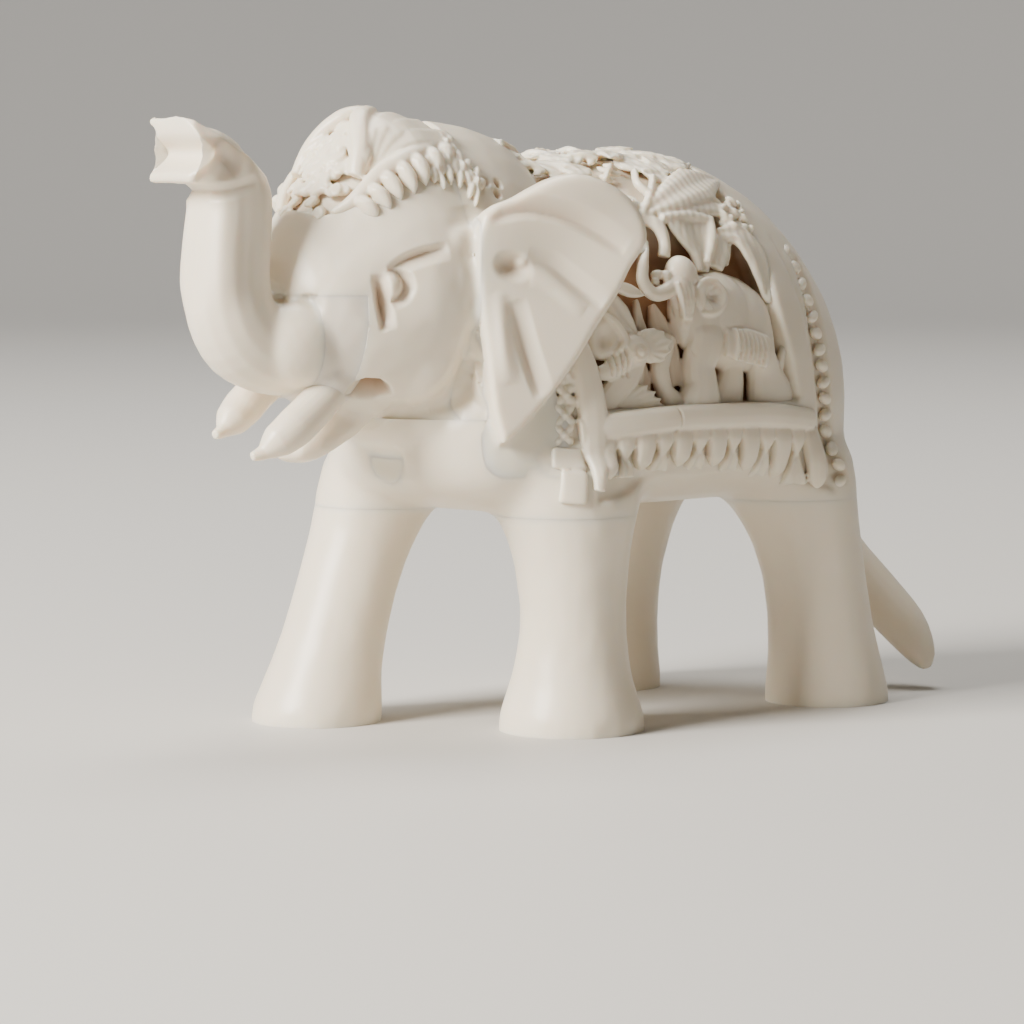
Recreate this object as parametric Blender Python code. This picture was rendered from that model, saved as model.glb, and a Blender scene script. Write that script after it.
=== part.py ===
"""Carved camel-bone elephant with a raised trunk, glued up from separate pieces of bone.

The figure stands on its four feet at z = 0. Its head points to -X and its left side to -Y.
Points are written as (forward, left, up) in millimetres, and at() turns them into the part's frame.
"""
import math

import bmesh
import bpy
from mathutils import Matrix, Vector

MM = 0.001

# Driving sizes, in millimetres.
GLUE_GAP = 0.3          # clearance between two glued faces
LEG_SEAM = 21.8         # height of the glue line between the legs and the torso
CHEST_SEAM = 31.75      # height of the glue line under the neck and the jaw
NECK_SEAM_TOP = 11.0    # how far forward the slanted neck seam meets the back
NECK_SEAM_LOW = 20.5    # how far forward the same seam ends at the chest
BACK_HEIGHT = 58.0      # height of the back at the neck seam
FACE_SEAM = 25.0        # glue line between the neck block and the face
ROOT_BACK = 36.0        # glue line between the face and the trunk root
ROOT_FRONT = 39.8       # glue line between the trunk root and the trunk
ROOT_TOP = 44.3         # top of the trunk root, under the forehead
ROOT_UNDER = 33.4       # underside of the trunk root, over the lower lip
LIP_BACK = 31.0         # the lower lip hangs below the chest seam in front of this
LIP_UNDER = 25.0
PEG_RADIUS = 1.1
PEG_CLEARANCE = 0.3
CHEST_REACH = 29.0      # in front of the chest, behind the lower lip
MARROW_RADIUS = 3.4     # canal along the shaft bone that the torso is cut from
MARROW_HEIGHT = 27.8
EAR_THICKNESS = 2.6
EDGE_ROUND = 0.5
SOLE_SPARE = 1.5        # extra length under each foot, cut off flat at the ground
BEYOND = 70.0           # past every surface of the figure

VOXEL = 0.85            # grid that melts the rough lofts into one smooth figure
FIGURE_FACES_KEPT = 0.12
BODY_SIDES = 28         # sides of the large cross-sections
LIMB_SIDES = 16         # sides of the trunk's, tail's and plug's
TUSK_SIDES = 12
LOFT_STEPS = 3

FORWARD = Vector((-1.0, 0.0, 0.0))
LEFT = Vector((0.0, -1.0, 0.0))
UP = Vector((0.0, 0.0, 1.0))

BONE_WHITE = (0.80, 0.76, 0.69, 1.0)
BONE_GREY = (0.66, 0.63, 0.57, 1.0)
FILLER = (0.72, 0.62, 0.46, 1.0)
BONE_ROUGHNESS = 0.34

# Cross-sections as (forward, left, up, half width, rise, drop). The widest level of a section is at
# "up", with its top "rise" above that level and its bottom "drop" below it.
TORSO = [
    (-30.7, 0, 32.0, 2.0, 3.0, 4.0), (-30.0, 0, 32.0, 6.2, 6.5, 8.5), (-28.4, 0, 32.0, 9.8, 10.5, 9.6),
    (-26.0, 0, 32.0, 12.7, 14.2, 10.2), (-23.0, 0, 32.0, 15.0, 18.0, 10.3), (-18.5, 0, 32.0, 16.9, 22.0, 10.3),
    (-13.0, 0, 32.0, 18.0, 24.8, 10.3), (-6.0, 0, 32.0, 18.2, 26.4, 10.3), (1.0, 0, 32.0, 18.2, 26.5, 10.3),
    (7.0, 0, 32.0, 17.8, 25.6, 10.3), (12.0, 0, 32.0, 16.8, 24.0, 10.3), (16.0, 0, 31.2, 15.6, 18.0, 9.4),
    (20.0, 0, 30.5, 14.4, 12.5, 8.4), (23.5, 0, 30.0, 12.4, 8.0, 6.8), (26.0, 0, 29.6, 9.0, 4.5, 4.8),
    (27.3, 0, 29.3, 4.0, 2.0, 2.0),
]
HEAD = [
    (8.0, 0, 50.0, 5.0, 6.0, 7.0), (12.5, 0, 49.0, 9.3, 10.4, 12.0), (17.0, 0, 48.0, 11.6, 12.8, 14.0),
    (21.0, 0, 47.0, 12.7, 14.3, 14.8), (25.0, 0, 46.5, 12.9, 15.2, 14.6), (29.0, 0, 46.0, 12.4, 16.0, 14.2),
    (32.0, 0, 45.5, 11.3, 15.4, 13.6), (34.5, 0, 45.0, 10.1, 13.2, 12.6), (37.0, 0, 44.5, 8.7, 9.8, 11.0),
    (39.2, 0, 44.2, 7.2, 7.0, 9.6), (40.7, 0, 44.0, 5.4, 4.6, 8.0), (41.4, 0, 44.0, 3.0, 2.4, 5.0),
]
LIP = [
    (31.5, 0, 33.0, 4.8, 2.6, 2.6), (34.5, 0, 31.0, 4.4, 2.2, 2.3), (37.2, 0, 29.6, 3.8, 1.8, 2.1),
    (39.2, 0, 29.1, 2.7, 1.3, 1.6), (40.2, 0, 29.1, 1.2, 0.7, 0.8),
]
TRUNK = [
    (34.0, 0, 39.2, 6.2, 5.6, 5.4), (38.0, 0, 39.2, 5.6, 5.2, 5.1), (41.5, 0, 39.3, 5.0, 4.8, 4.8),
    (44.3, 0, 40.3, 4.6, 4.5, 4.6), (46.1, 0, 42.7, 4.3, 4.3, 4.3), (46.6, 0, 46.0, 4.1, 4.1, 4.1),
    (46.3, 0, 50.0, 4.0, 4.0, 4.0), (46.1, 0, 53.5, 3.9, 4.0, 3.8), (47.0, 0, 56.6, 3.9, 4.0, 3.8),
    (49.0, 0, 58.3, 3.9, 3.5, 3.4), (51.2, 0, 58.4, 3.9, 3.3, 3.4), (52.6, 0, 58.4, 3.9, 3.5, 3.5),
]
TRUNK_ROOT_SECTIONS = 4     # the first trunk sections, which also shape the trunk root
# Round cross-sections as (forward, left, up, radius).
LEGS = {
    "left_front_leg": [
        (12.2, 12.0, 0.0, 7.4), (12.2, 12.0, 1.0, 7.5), (12.2, 12.0, 3.0, 6.9), (12.2, 12.0, 6.0, 6.0),
        (12.0, 12.0, 10.5, 5.4), (12.0, 11.8, 15.0, 5.6), (12.0, 11.5, 19.0, 6.3), (12.0, 10.8, 23.0, 7.6),
        (12.0, 9.5, 27.0, 8.4)],
    "right_front_leg": [
        (27.5, -10.3, 0.0, 6.7), (27.3, -10.3, 1.0, 6.8), (26.9, -10.3, 3.0, 6.4), (26.0, -10.3, 6.0, 5.8),
        (24.6, -10.3, 10.0, 5.4), (22.6, -10.3, 15.5, 5.4), (20.8, -10.2, 19.5, 5.8), (19.0, -9.8, 23.5, 6.8),
        (17.4, -9.0, 27.0, 7.6)],
    "left_rear_leg": [
        (-23.2, 13.0, 0.0, 6.6), (-23.2, 13.0, 1.0, 6.7), (-23.0, 13.0, 3.0, 6.3), (-22.6, 12.9, 6.5, 5.8),
        (-22.0, 12.7, 11.0, 5.5), (-21.3, 12.3, 15.5, 5.7), (-20.2, 11.7, 19.5, 6.4), (-18.9, 10.6, 23.5, 7.8),
        (-17.8, 9.4, 27.0, 8.8)],
    "right_rear_leg": [
        (-13.3, -11.7, 0.0, 6.5), (-13.3, -11.7, 1.0, 6.6), (-13.5, -11.7, 3.0, 6.2), (-14.0, -11.7, 6.5, 5.7),
        (-14.6, -11.6, 11.0, 5.4), (-15.2, -11.3, 15.5, 5.6), (-15.8, -10.9, 19.5, 6.3),
        (-16.4, -10.1, 23.5, 7.6), (-16.8, -9.0, 27.0, 8.6)],
}
TAIL = [
    (-26.0, -1.5, 35.0, 1.9), (-29.4, -1.5, 32.5, 2.1), (-31.6, -0.8, 26.5, 2.2), (-33.0, 0.8, 20.5, 2.3),
    (-34.6, 3.4, 15.0, 2.4), (-36.3, 7.2, 10.2, 2.6), (-37.5, 10.6, 6.6, 2.4), (-37.7, 12.9, 3.9, 1.6),
    (-37.4, 14.0, 2.5, 0.6),
]
TUSK = [
    (36.9, 5.4, 37.6, 1.2), (38.4, 5.2, 35.4, 1.6), (40.2, 4.7, 33.3, 1.9), (42.0, 4.1, 31.6, 1.75),
    (43.7, 3.6, 30.4, 1.1), (44.8, 3.3, 29.9, 0.75), (45.5, 3.2, 29.8, 0.5),
]
PLUG = [
    (15.0, 0, MARROW_HEIGHT, 3.1), (24.0, 0, MARROW_HEIGHT, 3.1), (26.4, 0, MARROW_HEIGHT, 2.8),
]
# The ear's outline as (distance back from its front edge, height), from its lower tip round its back.
EAR = [
    (2.2, 29.4), (3.9, 30.7), (7.0, 34.0), (9.9, 37.7), (11.9, 40.9), (14.2, 44.3), (15.4, 46.8),
    (17.1, 49.4), (16.7, 51.6), (15.4, 53.6), (12.8, 55.3), (9.7, 56.1), (6.6, 55.4), (3.2, 53.6),
    (0.2, 52.2), (-0.6, 48.0), (-0.2, 43.0), (0.6, 38.0), (1.2, 33.0),
]
EAR_FRONT = 25.0            # how far forward the ear's front edge is let into the neck
EAR_SIDE = 12.6             # how far that edge is from the middle
EAR_FLARE = math.radians(25.0)


def at(forward, left, up):
    """A point of the figure in the part's frame, in metres."""
    return Vector((-forward, -left, up)) * MM


def catmull_rom(points, steps):
    """The points joined by a smooth curve, with a number of steps for each stretch."""
    path = []
    last = len(points) - 1
    for i in range(last):
        before, start, end, after = (points[j] for j in (max(i - 1, 0), i, i + 1, min(i + 2, last)))
        for step in range(steps):
            t = step / steps
            path.append(tuple(
                0.5 * (2 * b + (c - a) * t + (2 * a - 5 * b + 4 * c - d) * t ** 2
                       + (3 * b - a - 3 * c + d) * t ** 3)
                for a, b, c, d in zip(before, start, end, after)))
    path.append(tuple(points[last]))
    return path


def mirrored(stations):
    """The same cross-sections on the figure's other side."""
    return [(s[0], -s[1], *s[2:]) for s in stations]


def new_object(name, mesh):
    piece = bpy.data.objects.new(name, mesh)
    bpy.context.scene.collection.objects.link(piece)
    return piece


def mesh_from(bm, name):
    """A closed mesh with its faces pointing out, shaded smooth except at its sharp edges."""
    bmesh.ops.recalc_face_normals(bm, faces=bm.faces)
    mesh = bpy.data.meshes.new(name)
    bm.to_mesh(mesh)
    bm.free()
    mesh.shade_smooth()
    mesh.set_sharp_from_angle(angle=math.radians(40.0))
    return mesh


def bone(name, colour):
    """A plain bone finish for one piece."""
    material = bpy.data.materials.new(name + "_finish")
    material.use_nodes = True
    shader = material.node_tree.nodes["Principled BSDF"]
    shader.inputs["Base Color"].default_value = colour
    shader.inputs["Roughness"].default_value = BONE_ROUGHNESS
    shader.inputs["Metallic"].default_value = 0.0
    return material


def finish(piece, colour=BONE_WHITE):
    """The piece gets its own material and hangs on the figure's empty."""
    piece.data.materials.clear()
    piece.data.materials.append(bone(piece.name, colour))
    piece.parent = figure_origin
    return piece


def as_cutter(piece):
    piece.hide_render = True
    piece.display_type = "WIRE"
    piece.parent = figure_origin
    return piece


def boolean(piece, cutter, operation="DIFFERENCE"):
    modifier = piece.modifiers.new(operation.lower() + "_" + cutter.name, "BOOLEAN")
    modifier.operation = operation
    modifier.solver = "EXACT"
    modifier.object = cutter


def add_ring(bm, sides, centre, across, upward, half_width, rise, drop, squareness):
    """One closed cross-section, made from a circle and pulled towards a rounded box."""
    circle = bmesh.ops.create_circle(bm, segments=sides, radius=1.0)
    for vert in circle["verts"]:
        c, s = vert.co.x, vert.co.y
        power = 2.0 / (squareness[0] if s > 0 else squareness[1])
        side = math.copysign(abs(c) ** power, c) * half_width
        height = math.copysign(abs(s) ** power, s) * (rise if s > 0 else drop)
        vert.co = centre + (across * side + upward * height) * MM
    return list({edge for vert in circle["verts"] for edge in vert.link_edges})


def loft(name, stations, sides=BODY_SIDES, squareness=(2.0, 2.0), facing=None, grow=0.0):
    """A closed body through cross-sections, which follow the path or all face in one direction."""
    stations = [s if len(s) == 6 else (*s, s[3], s[3]) for s in stations]
    path = catmull_rom(stations, LOFT_STEPS)
    centres = [at(*section[:3]) for section in path]
    bm = bmesh.new()
    rings = []
    for i, section in enumerate(path):
        ahead = facing or (centres[min(i + 1, len(path) - 1)] - centres[max(i - 1, 0)]).normalized()
        across = (LEFT - ahead * LEFT.dot(ahead)).normalized()
        half_width, rise, drop = (value + grow for value in section[3:])
        upward = ahead.cross(across)
        rings.append(add_ring(bm, sides, centres[i], across, upward, half_width, rise, drop, squareness))
    for first, second in zip(rings, rings[1:]):
        bmesh.ops.bridge_loops(bm, edges=first + second)
    bmesh.ops.holes_fill(bm, edges=[edge for edge in bm.edges if edge.is_boundary], sides=0)
    return new_object(name, mesh_from(bm, name))


def prism(name, outline, left=BEYOND, right=-BEYOND):
    """A cutter: an outline seen from the side, as (forward, up) points, run across the figure."""
    bm = bmesh.new()
    face = bm.faces.new([bm.verts.new(at(forward, left, up)) for forward, up in outline])
    run = bmesh.ops.extrude_face_region(bm, geom=[face])["geom"]
    moved = [item for item in run if isinstance(item, bmesh.types.BMVert)]
    bmesh.ops.translate(bm, vec=LEFT * (right - left) * MM, verts=moved)
    return as_cutter(new_object(name, mesh_from(bm, name)))


def rod(name, start, end, radius):
    """A straight round rod between two (forward, left, up) points."""
    first, last = at(*start), at(*end)
    bm = bmesh.new()
    bmesh.ops.create_cone(bm, cap_ends=True, segments=16, radius1=radius * MM, radius2=radius * MM,
                          depth=(last - first).length)
    turn = (last - first).to_track_quat("Z", "Y").to_matrix().to_4x4()
    bmesh.ops.transform(bm, matrix=Matrix.Translation((first + last) / 2) @ turn, verts=bm.verts)
    return new_object(name, mesh_from(bm, name))


def peg(name, start, end, *joined):
    """A bone peg, with a slightly wider and longer hole for it in the pieces that it joins."""
    finish(rod(name, start, end, PEG_RADIUS))
    start, end = Vector(start), Vector(end)
    reach = (end - start).normalized() * PEG_CLEARANCE
    hole = as_cutter(rod(name + "_hole", start - reach, end + reach, PEG_RADIUS + PEG_CLEARANCE))
    for piece in joined:
        boolean(piece, hole)


def smooth_figure():
    """Body, head, trunk root and legs melted into one smooth skin, which the seams then divide."""
    rough = [loft("rough_torso", TORSO, squareness=(2.1, 3.4), facing=FORWARD),
             loft("rough_head", HEAD, squareness=(1.55, 2.4), facing=FORWARD),
             loft("rough_lip", LIP, facing=FORWARD),
             loft("rough_root", TRUNK[:TRUNK_ROOT_SECTIONS])]
    for name, stations in LEGS.items():
        forward, left, up, radius = stations[0]
        longer = [(forward, left, up - SOLE_SPARE, radius)] + stations
        rough.append(loft("rough_" + name, longer, facing=UP))
    bm = bmesh.new()
    for piece in rough:
        bm.from_mesh(piece.data)
        bpy.data.objects.remove(piece)
    figure = new_object("rough_figure", mesh_from(bm, "rough_figure"))
    melt = figure.modifiers.new("melt", "REMESH")
    melt.mode = "VOXEL"
    melt.voxel_size = VOXEL * MM
    soften = figure.modifiers.new("soften", "SMOOTH")
    soften.factor = 0.5
    soften.iterations = 5
    thin = figure.modifiers.new("thin", "DECIMATE")
    thin.ratio = FIGURE_FACES_KEPT
    graph = bpy.context.evaluated_depsgraph_get()
    skin = bpy.data.meshes.new_from_object(figure.evaluated_get(graph), depsgraph=graph)
    bpy.data.objects.remove(figure)
    return skin


def from_figure(skin, name, outline, colour=BONE_WHITE, left=BEYOND, right=-BEYOND):
    """The piece of the figure that lies inside one side-view outline."""
    piece = new_object(name, skin.copy())
    boolean(piece, prism(name + "_zone", outline, left, right), "INTERSECT")
    return finish(piece, colour)


def ear(name, side, grow=0.0):
    """A flat leaf with a rounded edge that flares away from the neck. side is 1 left, -1 right."""
    half = EAR_THICKNESS / 2 + grow
    back, out = math.cos(EAR_FLARE), math.sin(EAR_FLARE)
    outline = [Vector(point) for point in catmull_rom(EAR + EAR[:1], 2)[:-1]]
    middle = sum(outline, Vector((0.0, 0.0))) / len(outline)
    bm = bmesh.new()
    loops = []
    for depth, shrink in ((-half, EDGE_ROUND), (EDGE_ROUND - half, 0.0), (half - EDGE_ROUND, 0.0),
                          (half, EDGE_ROUND)):
        loop = []
        for point in outline:
            along, up = point + (middle - point).normalized() * (shrink - grow)
            forward = EAR_FRONT - along * back + depth * out
            loop.append(bm.verts.new(at(forward, side * (EAR_SIDE + along * out + depth * back), up)))
        loops.append([bm.edges.new((loop[i - 1], loop[i])) for i in range(len(loop))])
    for first, second in zip(loops, loops[1:]):
        bmesh.ops.bridge_loops(bm, edges=first + second)
    for rim in (loops[0], loops[-1]):
        bmesh.ops.triangle_fill(bm, edges=rim, use_beauty=True)
    return new_object(name, mesh_from(bm, name))


def make_body(skin):
    """The torso, its four legs and the pegs in them."""
    low, high = LEG_SEAM + GLUE_GAP / 2, CHEST_SEAM - GLUE_GAP / 2
    slope = (NECK_SEAM_LOW - NECK_SEAM_TOP) / (BACK_HEIGHT - CHEST_SEAM)
    behind = GLUE_GAP / 2
    over = BEYOND - BACK_HEIGHT
    torso = from_figure(skin, "torso", [
        (-BEYOND, low), (CHEST_REACH, low), (CHEST_REACH, high), (NECK_SEAM_LOW - behind, high),
        (NECK_SEAM_TOP - behind - slope * over, BEYOND), (-BEYOND, BEYOND)])
    for name, stations in LEGS.items():
        middle, side = stations[0][:2]
        left, right = (BEYOND, 0.0) if side > 0 else (0.0, -BEYOND)
        behind_middle = name.endswith("rear_leg")
        start, end = (-BEYOND, 0.0) if behind_middle else (0.0, BEYOND)
        top = LEG_SEAM - GLUE_GAP / 2
        leg = from_figure(skin, name, [(start, 0.0), (end, 0.0), (end, top), (start, top)],
                          left=left, right=right)
        hip = stations[-2]
        knee = stations[-4]
        peg(name + "_peg", (*knee[:2], knee[2]), (*hip[:2], hip[2] + 4.0), torso, leg)
    return torso


def make_head(skin, torso):
    """Neck, face, trunk root and trunk, with the pegs that hold them in line."""
    half_gap = GLUE_GAP / 2
    floor = CHEST_SEAM + half_gap
    slope = (NECK_SEAM_LOW - NECK_SEAM_TOP) / (BACK_HEIGHT - CHEST_SEAM)
    over = BEYOND - BACK_HEIGHT
    neck = from_figure(skin, "neck", [
        (NECK_SEAM_LOW + half_gap, floor), (FACE_SEAM - half_gap, floor), (FACE_SEAM - half_gap, BEYOND),
        (NECK_SEAM_TOP + half_gap - slope * over, BEYOND)])
    face = from_figure(skin, "face", [
        (FACE_SEAM + half_gap, BEYOND), (FACE_SEAM + half_gap, floor), (LIP_BACK, floor),
        (LIP_BACK, LIP_UNDER), (BEYOND, LIP_UNDER), (BEYOND, ROOT_UNDER - half_gap),
        (ROOT_BACK - half_gap, ROOT_UNDER - half_gap), (ROOT_BACK - half_gap, ROOT_TOP + half_gap),
        (BEYOND, ROOT_TOP + half_gap), (BEYOND, BEYOND)])
    root = from_figure(skin, "trunk_root", [
        (ROOT_BACK + half_gap, ROOT_UNDER + half_gap), (ROOT_FRONT - half_gap, ROOT_UNDER + half_gap),
        (ROOT_FRONT - half_gap, ROOT_TOP - half_gap), (ROOT_BACK + half_gap, ROOT_TOP - half_gap)],
        BONE_GREY)
    trunk = loft("trunk", TRUNK, LIMB_SIDES)
    boolean(trunk, prism("trunk_zone", [(ROOT_FRONT + half_gap, 0.0), (BEYOND, 0.0), (BEYOND, BEYOND),
                                        (ROOT_FRONT + half_gap, BEYOND)]), "INTERSECT")
    finish(trunk)
    peg("neck_peg", (10.5, 0.0, 42.0), (19.5, 0.0, 45.5), torso, neck)
    peg("face_peg", (21.5, 0.0, 50.0), (29.0, 0.0, 50.0), neck, face)
    peg("trunk_peg", (32.0, 0.0, 39.2), (43.5, 0.0, 39.6), face, root, trunk)
    return neck, face, root


def make_fitted_pieces(torso, neck, face, root):
    """Ears, tusks, tail and chest plug, each let into a pocket of its own shape."""
    for name, side in (("left_ear", 1), ("right_ear", -1)):
        finish(ear(name, side))
        pocket = as_cutter(ear(name + "_pocket", side, grow=GLUE_GAP))
        for piece in (neck, torso, face):
            boolean(piece, pocket)
    for name, stations in (("left_tusk", TUSK), ("right_tusk", mirrored(TUSK))):
        finish(loft(name, stations, TUSK_SIDES))
        pocket = as_cutter(loft(name + "_pocket", stations, TUSK_SIDES, grow=GLUE_GAP))
        for piece in (root, face):
            boolean(piece, pocket)
    finish(loft("tail", TAIL, LIMB_SIDES))
    boolean(torso, as_cutter(loft("tail_pocket", TAIL, LIMB_SIDES, grow=GLUE_GAP)))
    finish(loft("chest_plug", PLUG, LIMB_SIDES), FILLER)
    boolean(torso, as_cutter(rod("marrow_canal", (-20.0, 0.0, MARROW_HEIGHT), (BEYOND, 0.0, MARROW_HEIGHT),
                                 MARROW_RADIUS)))


def stand_on_origin():
    """Moves the whole figure so that the middle of its box stands on the origin."""
    graph = bpy.context.evaluated_depsgraph_get()
    corners = [Vector(corner) for piece in bpy.data.objects if piece.type == "MESH" and not piece.hide_render
               for corner in piece.evaluated_get(graph).bound_box]
    for axis in range(2):
        low, high = min(corner[axis] for corner in corners), max(corner[axis] for corner in corners)
        figure_origin.location[axis] = -(low + high) / 2


for old in list(bpy.data.objects):
    bpy.data.objects.remove(old)
figure_origin = new_object("figure_origin", None)
figure_skin = smooth_figure()
body = make_body(figure_skin)
make_fitted_pieces(body, *make_head(figure_skin, body))
stand_on_origin()
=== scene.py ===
# %% [markdown]
# # A small elephant carved from camel bone
# The real thing is a hand-carved figurine, about nine centimetres long. It is glued up from several pieces
# of waxed bone: a torso with a jungle scene cut into each flank, a neck block with two ears, a face, a
# trunk on a grey root, two tusks, four legs and a tail. The CAD model gives every piece its size and place.
# This script gives them their carved surface. It starts by loading that model, which it never moves.

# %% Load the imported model
import math
import random

import bmesh
import bpy
import numpy as np
from mathutils import Matrix, Vector
from mathutils.bvhtree import BVHTree


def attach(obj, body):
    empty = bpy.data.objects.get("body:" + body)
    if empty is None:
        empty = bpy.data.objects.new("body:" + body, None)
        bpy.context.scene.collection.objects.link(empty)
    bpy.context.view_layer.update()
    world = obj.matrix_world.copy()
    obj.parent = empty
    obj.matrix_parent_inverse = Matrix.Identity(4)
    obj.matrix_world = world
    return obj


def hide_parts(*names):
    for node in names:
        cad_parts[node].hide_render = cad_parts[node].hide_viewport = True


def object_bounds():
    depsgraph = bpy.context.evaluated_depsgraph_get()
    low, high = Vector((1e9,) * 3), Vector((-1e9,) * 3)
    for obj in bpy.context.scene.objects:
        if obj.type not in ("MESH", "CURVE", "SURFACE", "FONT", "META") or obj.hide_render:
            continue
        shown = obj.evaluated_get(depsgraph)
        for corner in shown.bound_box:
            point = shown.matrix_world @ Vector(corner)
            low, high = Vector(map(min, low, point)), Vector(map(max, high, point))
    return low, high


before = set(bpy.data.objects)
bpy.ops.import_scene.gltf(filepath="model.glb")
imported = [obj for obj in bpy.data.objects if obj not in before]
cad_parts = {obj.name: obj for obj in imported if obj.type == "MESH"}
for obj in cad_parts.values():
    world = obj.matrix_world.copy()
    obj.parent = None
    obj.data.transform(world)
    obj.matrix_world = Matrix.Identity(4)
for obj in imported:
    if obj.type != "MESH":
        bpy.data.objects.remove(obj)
cad_low, cad_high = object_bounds()
print("CAD box in mm:", [round(c * 1000, 1) for c in (*cad_low, *cad_high)])

# %% [markdown]
# ## The figure's own axes
# A carver thinks in "how far forward, how far to the left, how high", in millimetres, with zero in the
# middle of the belly. The frame's X axis points to the tail and its Y axis to the right side, so two signs
# turn round. Two turned signs are a half turn about the vertical, so nothing becomes its mirror image.

# %% Forward, left and up, in millimetres
MM = 0.001
WELD = 0.0005            # points of one corner lie closer together than this
TAIL_REACH = 39.84       # how far the tail stands behind the zero of the figure
zero = cad_high.x - TAIL_REACH * MM
TO_FRAME = Matrix.Translation((zero, 0.0, 0.0)) @ Matrix.Diagonal((-MM, -MM, MM, 1.0))
TO_FIGURE = TO_FRAME.inverted()
print("the zero of the figure is at x =", round(zero / MM, 2), "mm")


def new_object(name, mesh):
    """A mesh as an object of the scene, at the origin."""
    item = bpy.data.objects.new(name, mesh)
    bpy.context.collection.objects.link(item)
    return item


def mesh_from(bm):
    """A bmesh as a new mesh. The bmesh is freed."""
    mesh = bpy.data.meshes.new("clay")
    bm.to_mesh(mesh)
    bm.free()
    return mesh


def applied(item):
    """The mesh that an object's modifiers give. The object goes away."""
    graph = bpy.context.evaluated_depsgraph_get()
    mesh = bpy.data.meshes.new_from_object(item.evaluated_get(graph), depsgraph=graph)
    before = item.data
    bpy.data.objects.remove(item)
    bpy.data.meshes.remove(before)
    return mesh


# %% [markdown]
# ## Camera
# The figure is seen from its front left, a little from above, through a long lens.

# %% Camera
TURN = math.radians(41.0)          # between the line of sight and the figure's side view
TILT = math.radians(5.17)          # how far the camera looks down
camera_data = bpy.data.cameras.new("camera")
camera_data.lens = 151.2
camera_data.sensor_width = 36.0
camera_data.clip_start = 0.05
camera_data.clip_end = 20.0
camera = bpy.data.objects.new("camera", camera_data)
bpy.context.collection.objects.link(camera)
camera.location = (-0.2929, -0.3331, 0.061)      # metres in the frame
camera.rotation_euler = (math.pi / 2 - TILT, 0.0, -TURN)
bpy.context.scene.camera = camera
print("camera at", [round(c, 3) for c in camera.location])

# %% [markdown]
# ## Clay
# Carved bone has no construction edges, so the skins are not built from smooth primitives. The merged
# copies of CAD pieces are melted together by a voxel remesh, as if in clay. The glued faces of the CAD
# pieces stand a hair apart, so each copy swells first until they touch.

# %% Melting shapes together
SWELL = 0.2              # more than half of the gap that the CAD leaves between glued faces
SOLE = 0.3               # corners below this height belong to a sole


def clay_from(*nodes, swell=SWELL, sole=0.0):
    """Merged and swollen copies of CAD nodes, in figure millimetres. Soles are moved down to a new level."""
    clay = bmesh.new()
    for name in nodes:
        part = bmesh.new()
        part.from_mesh(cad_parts[name].data)
        part.transform(TO_FIGURE)
        bmesh.ops.remove_doubles(part, verts=part.verts, dist=WELD)
        part.normal_update()
        for corner in part.verts:
            corner.co += corner.normal * swell
            if corner.co.z < SOLE:
                corner.co.z = sole
        held = mesh_from(part)
        clay.from_mesh(held)
        bpy.data.meshes.remove(held)
    return clay


def melted(clay, grain, soft=0):
    """The skin round all of the clay, at one grain in millimetres, softened by a few steps."""
    item = new_object("clay", mesh_from(clay))
    melt = item.modifiers.new("melt", "REMESH")
    melt.mode = "VOXEL"
    melt.voxel_size = grain
    if soft:
        soften = item.modifiers.new("soften", "SMOOTH")
        soften.factor = 0.5
        soften.iterations = soft
    return applied(item)


def fused(clay, grain, soft=0, swollen=0.0):
    """The largest closed body of the melted clay. What the clay was swollen by is taken off at the end."""
    skin = one_body(melted(clay, grain, soft))
    if swollen:
        put(skin, corners(skin) - facings(skin) * swollen)
    return skin


def lump(bm, centre, radii, turn=None, detail=3):
    """An oval pebble of clay."""
    place = Matrix.Translation(centre)
    if turn is not None:
        place = place @ turn
    bmesh.ops.create_icosphere(bm, subdivisions=detail, radius=1.0,
                               matrix=place @ Matrix.Diagonal((*radii, 1.0)))


def corners(mesh):
    """The corner points of a mesh as an array."""
    flat = np.empty(len(mesh.vertices) * 3, np.float32)
    mesh.vertices.foreach_get("co", flat)
    return flat.reshape(-1, 3).astype(float)


def facings(mesh):
    """The directions that the corners face, as an array."""
    flat = np.empty(len(mesh.vertices) * 3, np.float32)
    mesh.vertex_normals.foreach_get("vector", flat)
    return flat.reshape(-1, 3).astype(float)


def put(mesh, points):
    """Moves the corners of a mesh."""
    mesh.vertices.foreach_set("co", points.astype(np.float32).ravel())
    mesh.update()


def one_body(mesh):
    """Removes every loose crumb and inner bubble, and keeps the largest closed body."""
    count = len(mesh.vertices)
    ends = np.empty(len(mesh.edges) * 2, np.int32)
    mesh.edges.foreach_get("vertices", ends)
    first, second = ends.reshape(-1, 2).T
    label = np.arange(count)
    while True:
        low = np.minimum(label[first], label[second])
        lower = label.copy()
        np.minimum.at(lower, first, low)
        np.minimum.at(lower, second, low)
        np.minimum.at(lower, label[first], low)
        np.minimum.at(lower, label[second], low)
        lower = lower[lower]
        if (lower == label).all():
            break
        label = lower
    keep = np.bincount(label, minlength=count).argmax()
    if (label == keep).all():
        return mesh
    bm = bmesh.new()
    bm.from_mesh(mesh)
    crumbs = [corner for corner, part in zip(bm.verts, label) if part != keep]
    bmesh.ops.delete(bm, geom=crumbs, context="VERTS")
    bm.to_mesh(mesh)
    bm.free()
    return mesh


# %% [markdown]
# ## Cutting tools
# A real carver works on the finished outside with gravers and files, and so does this script: a tool moves
# each corner of the skin in or out by an amount that depends on its distance from a line or an outline.

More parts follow.
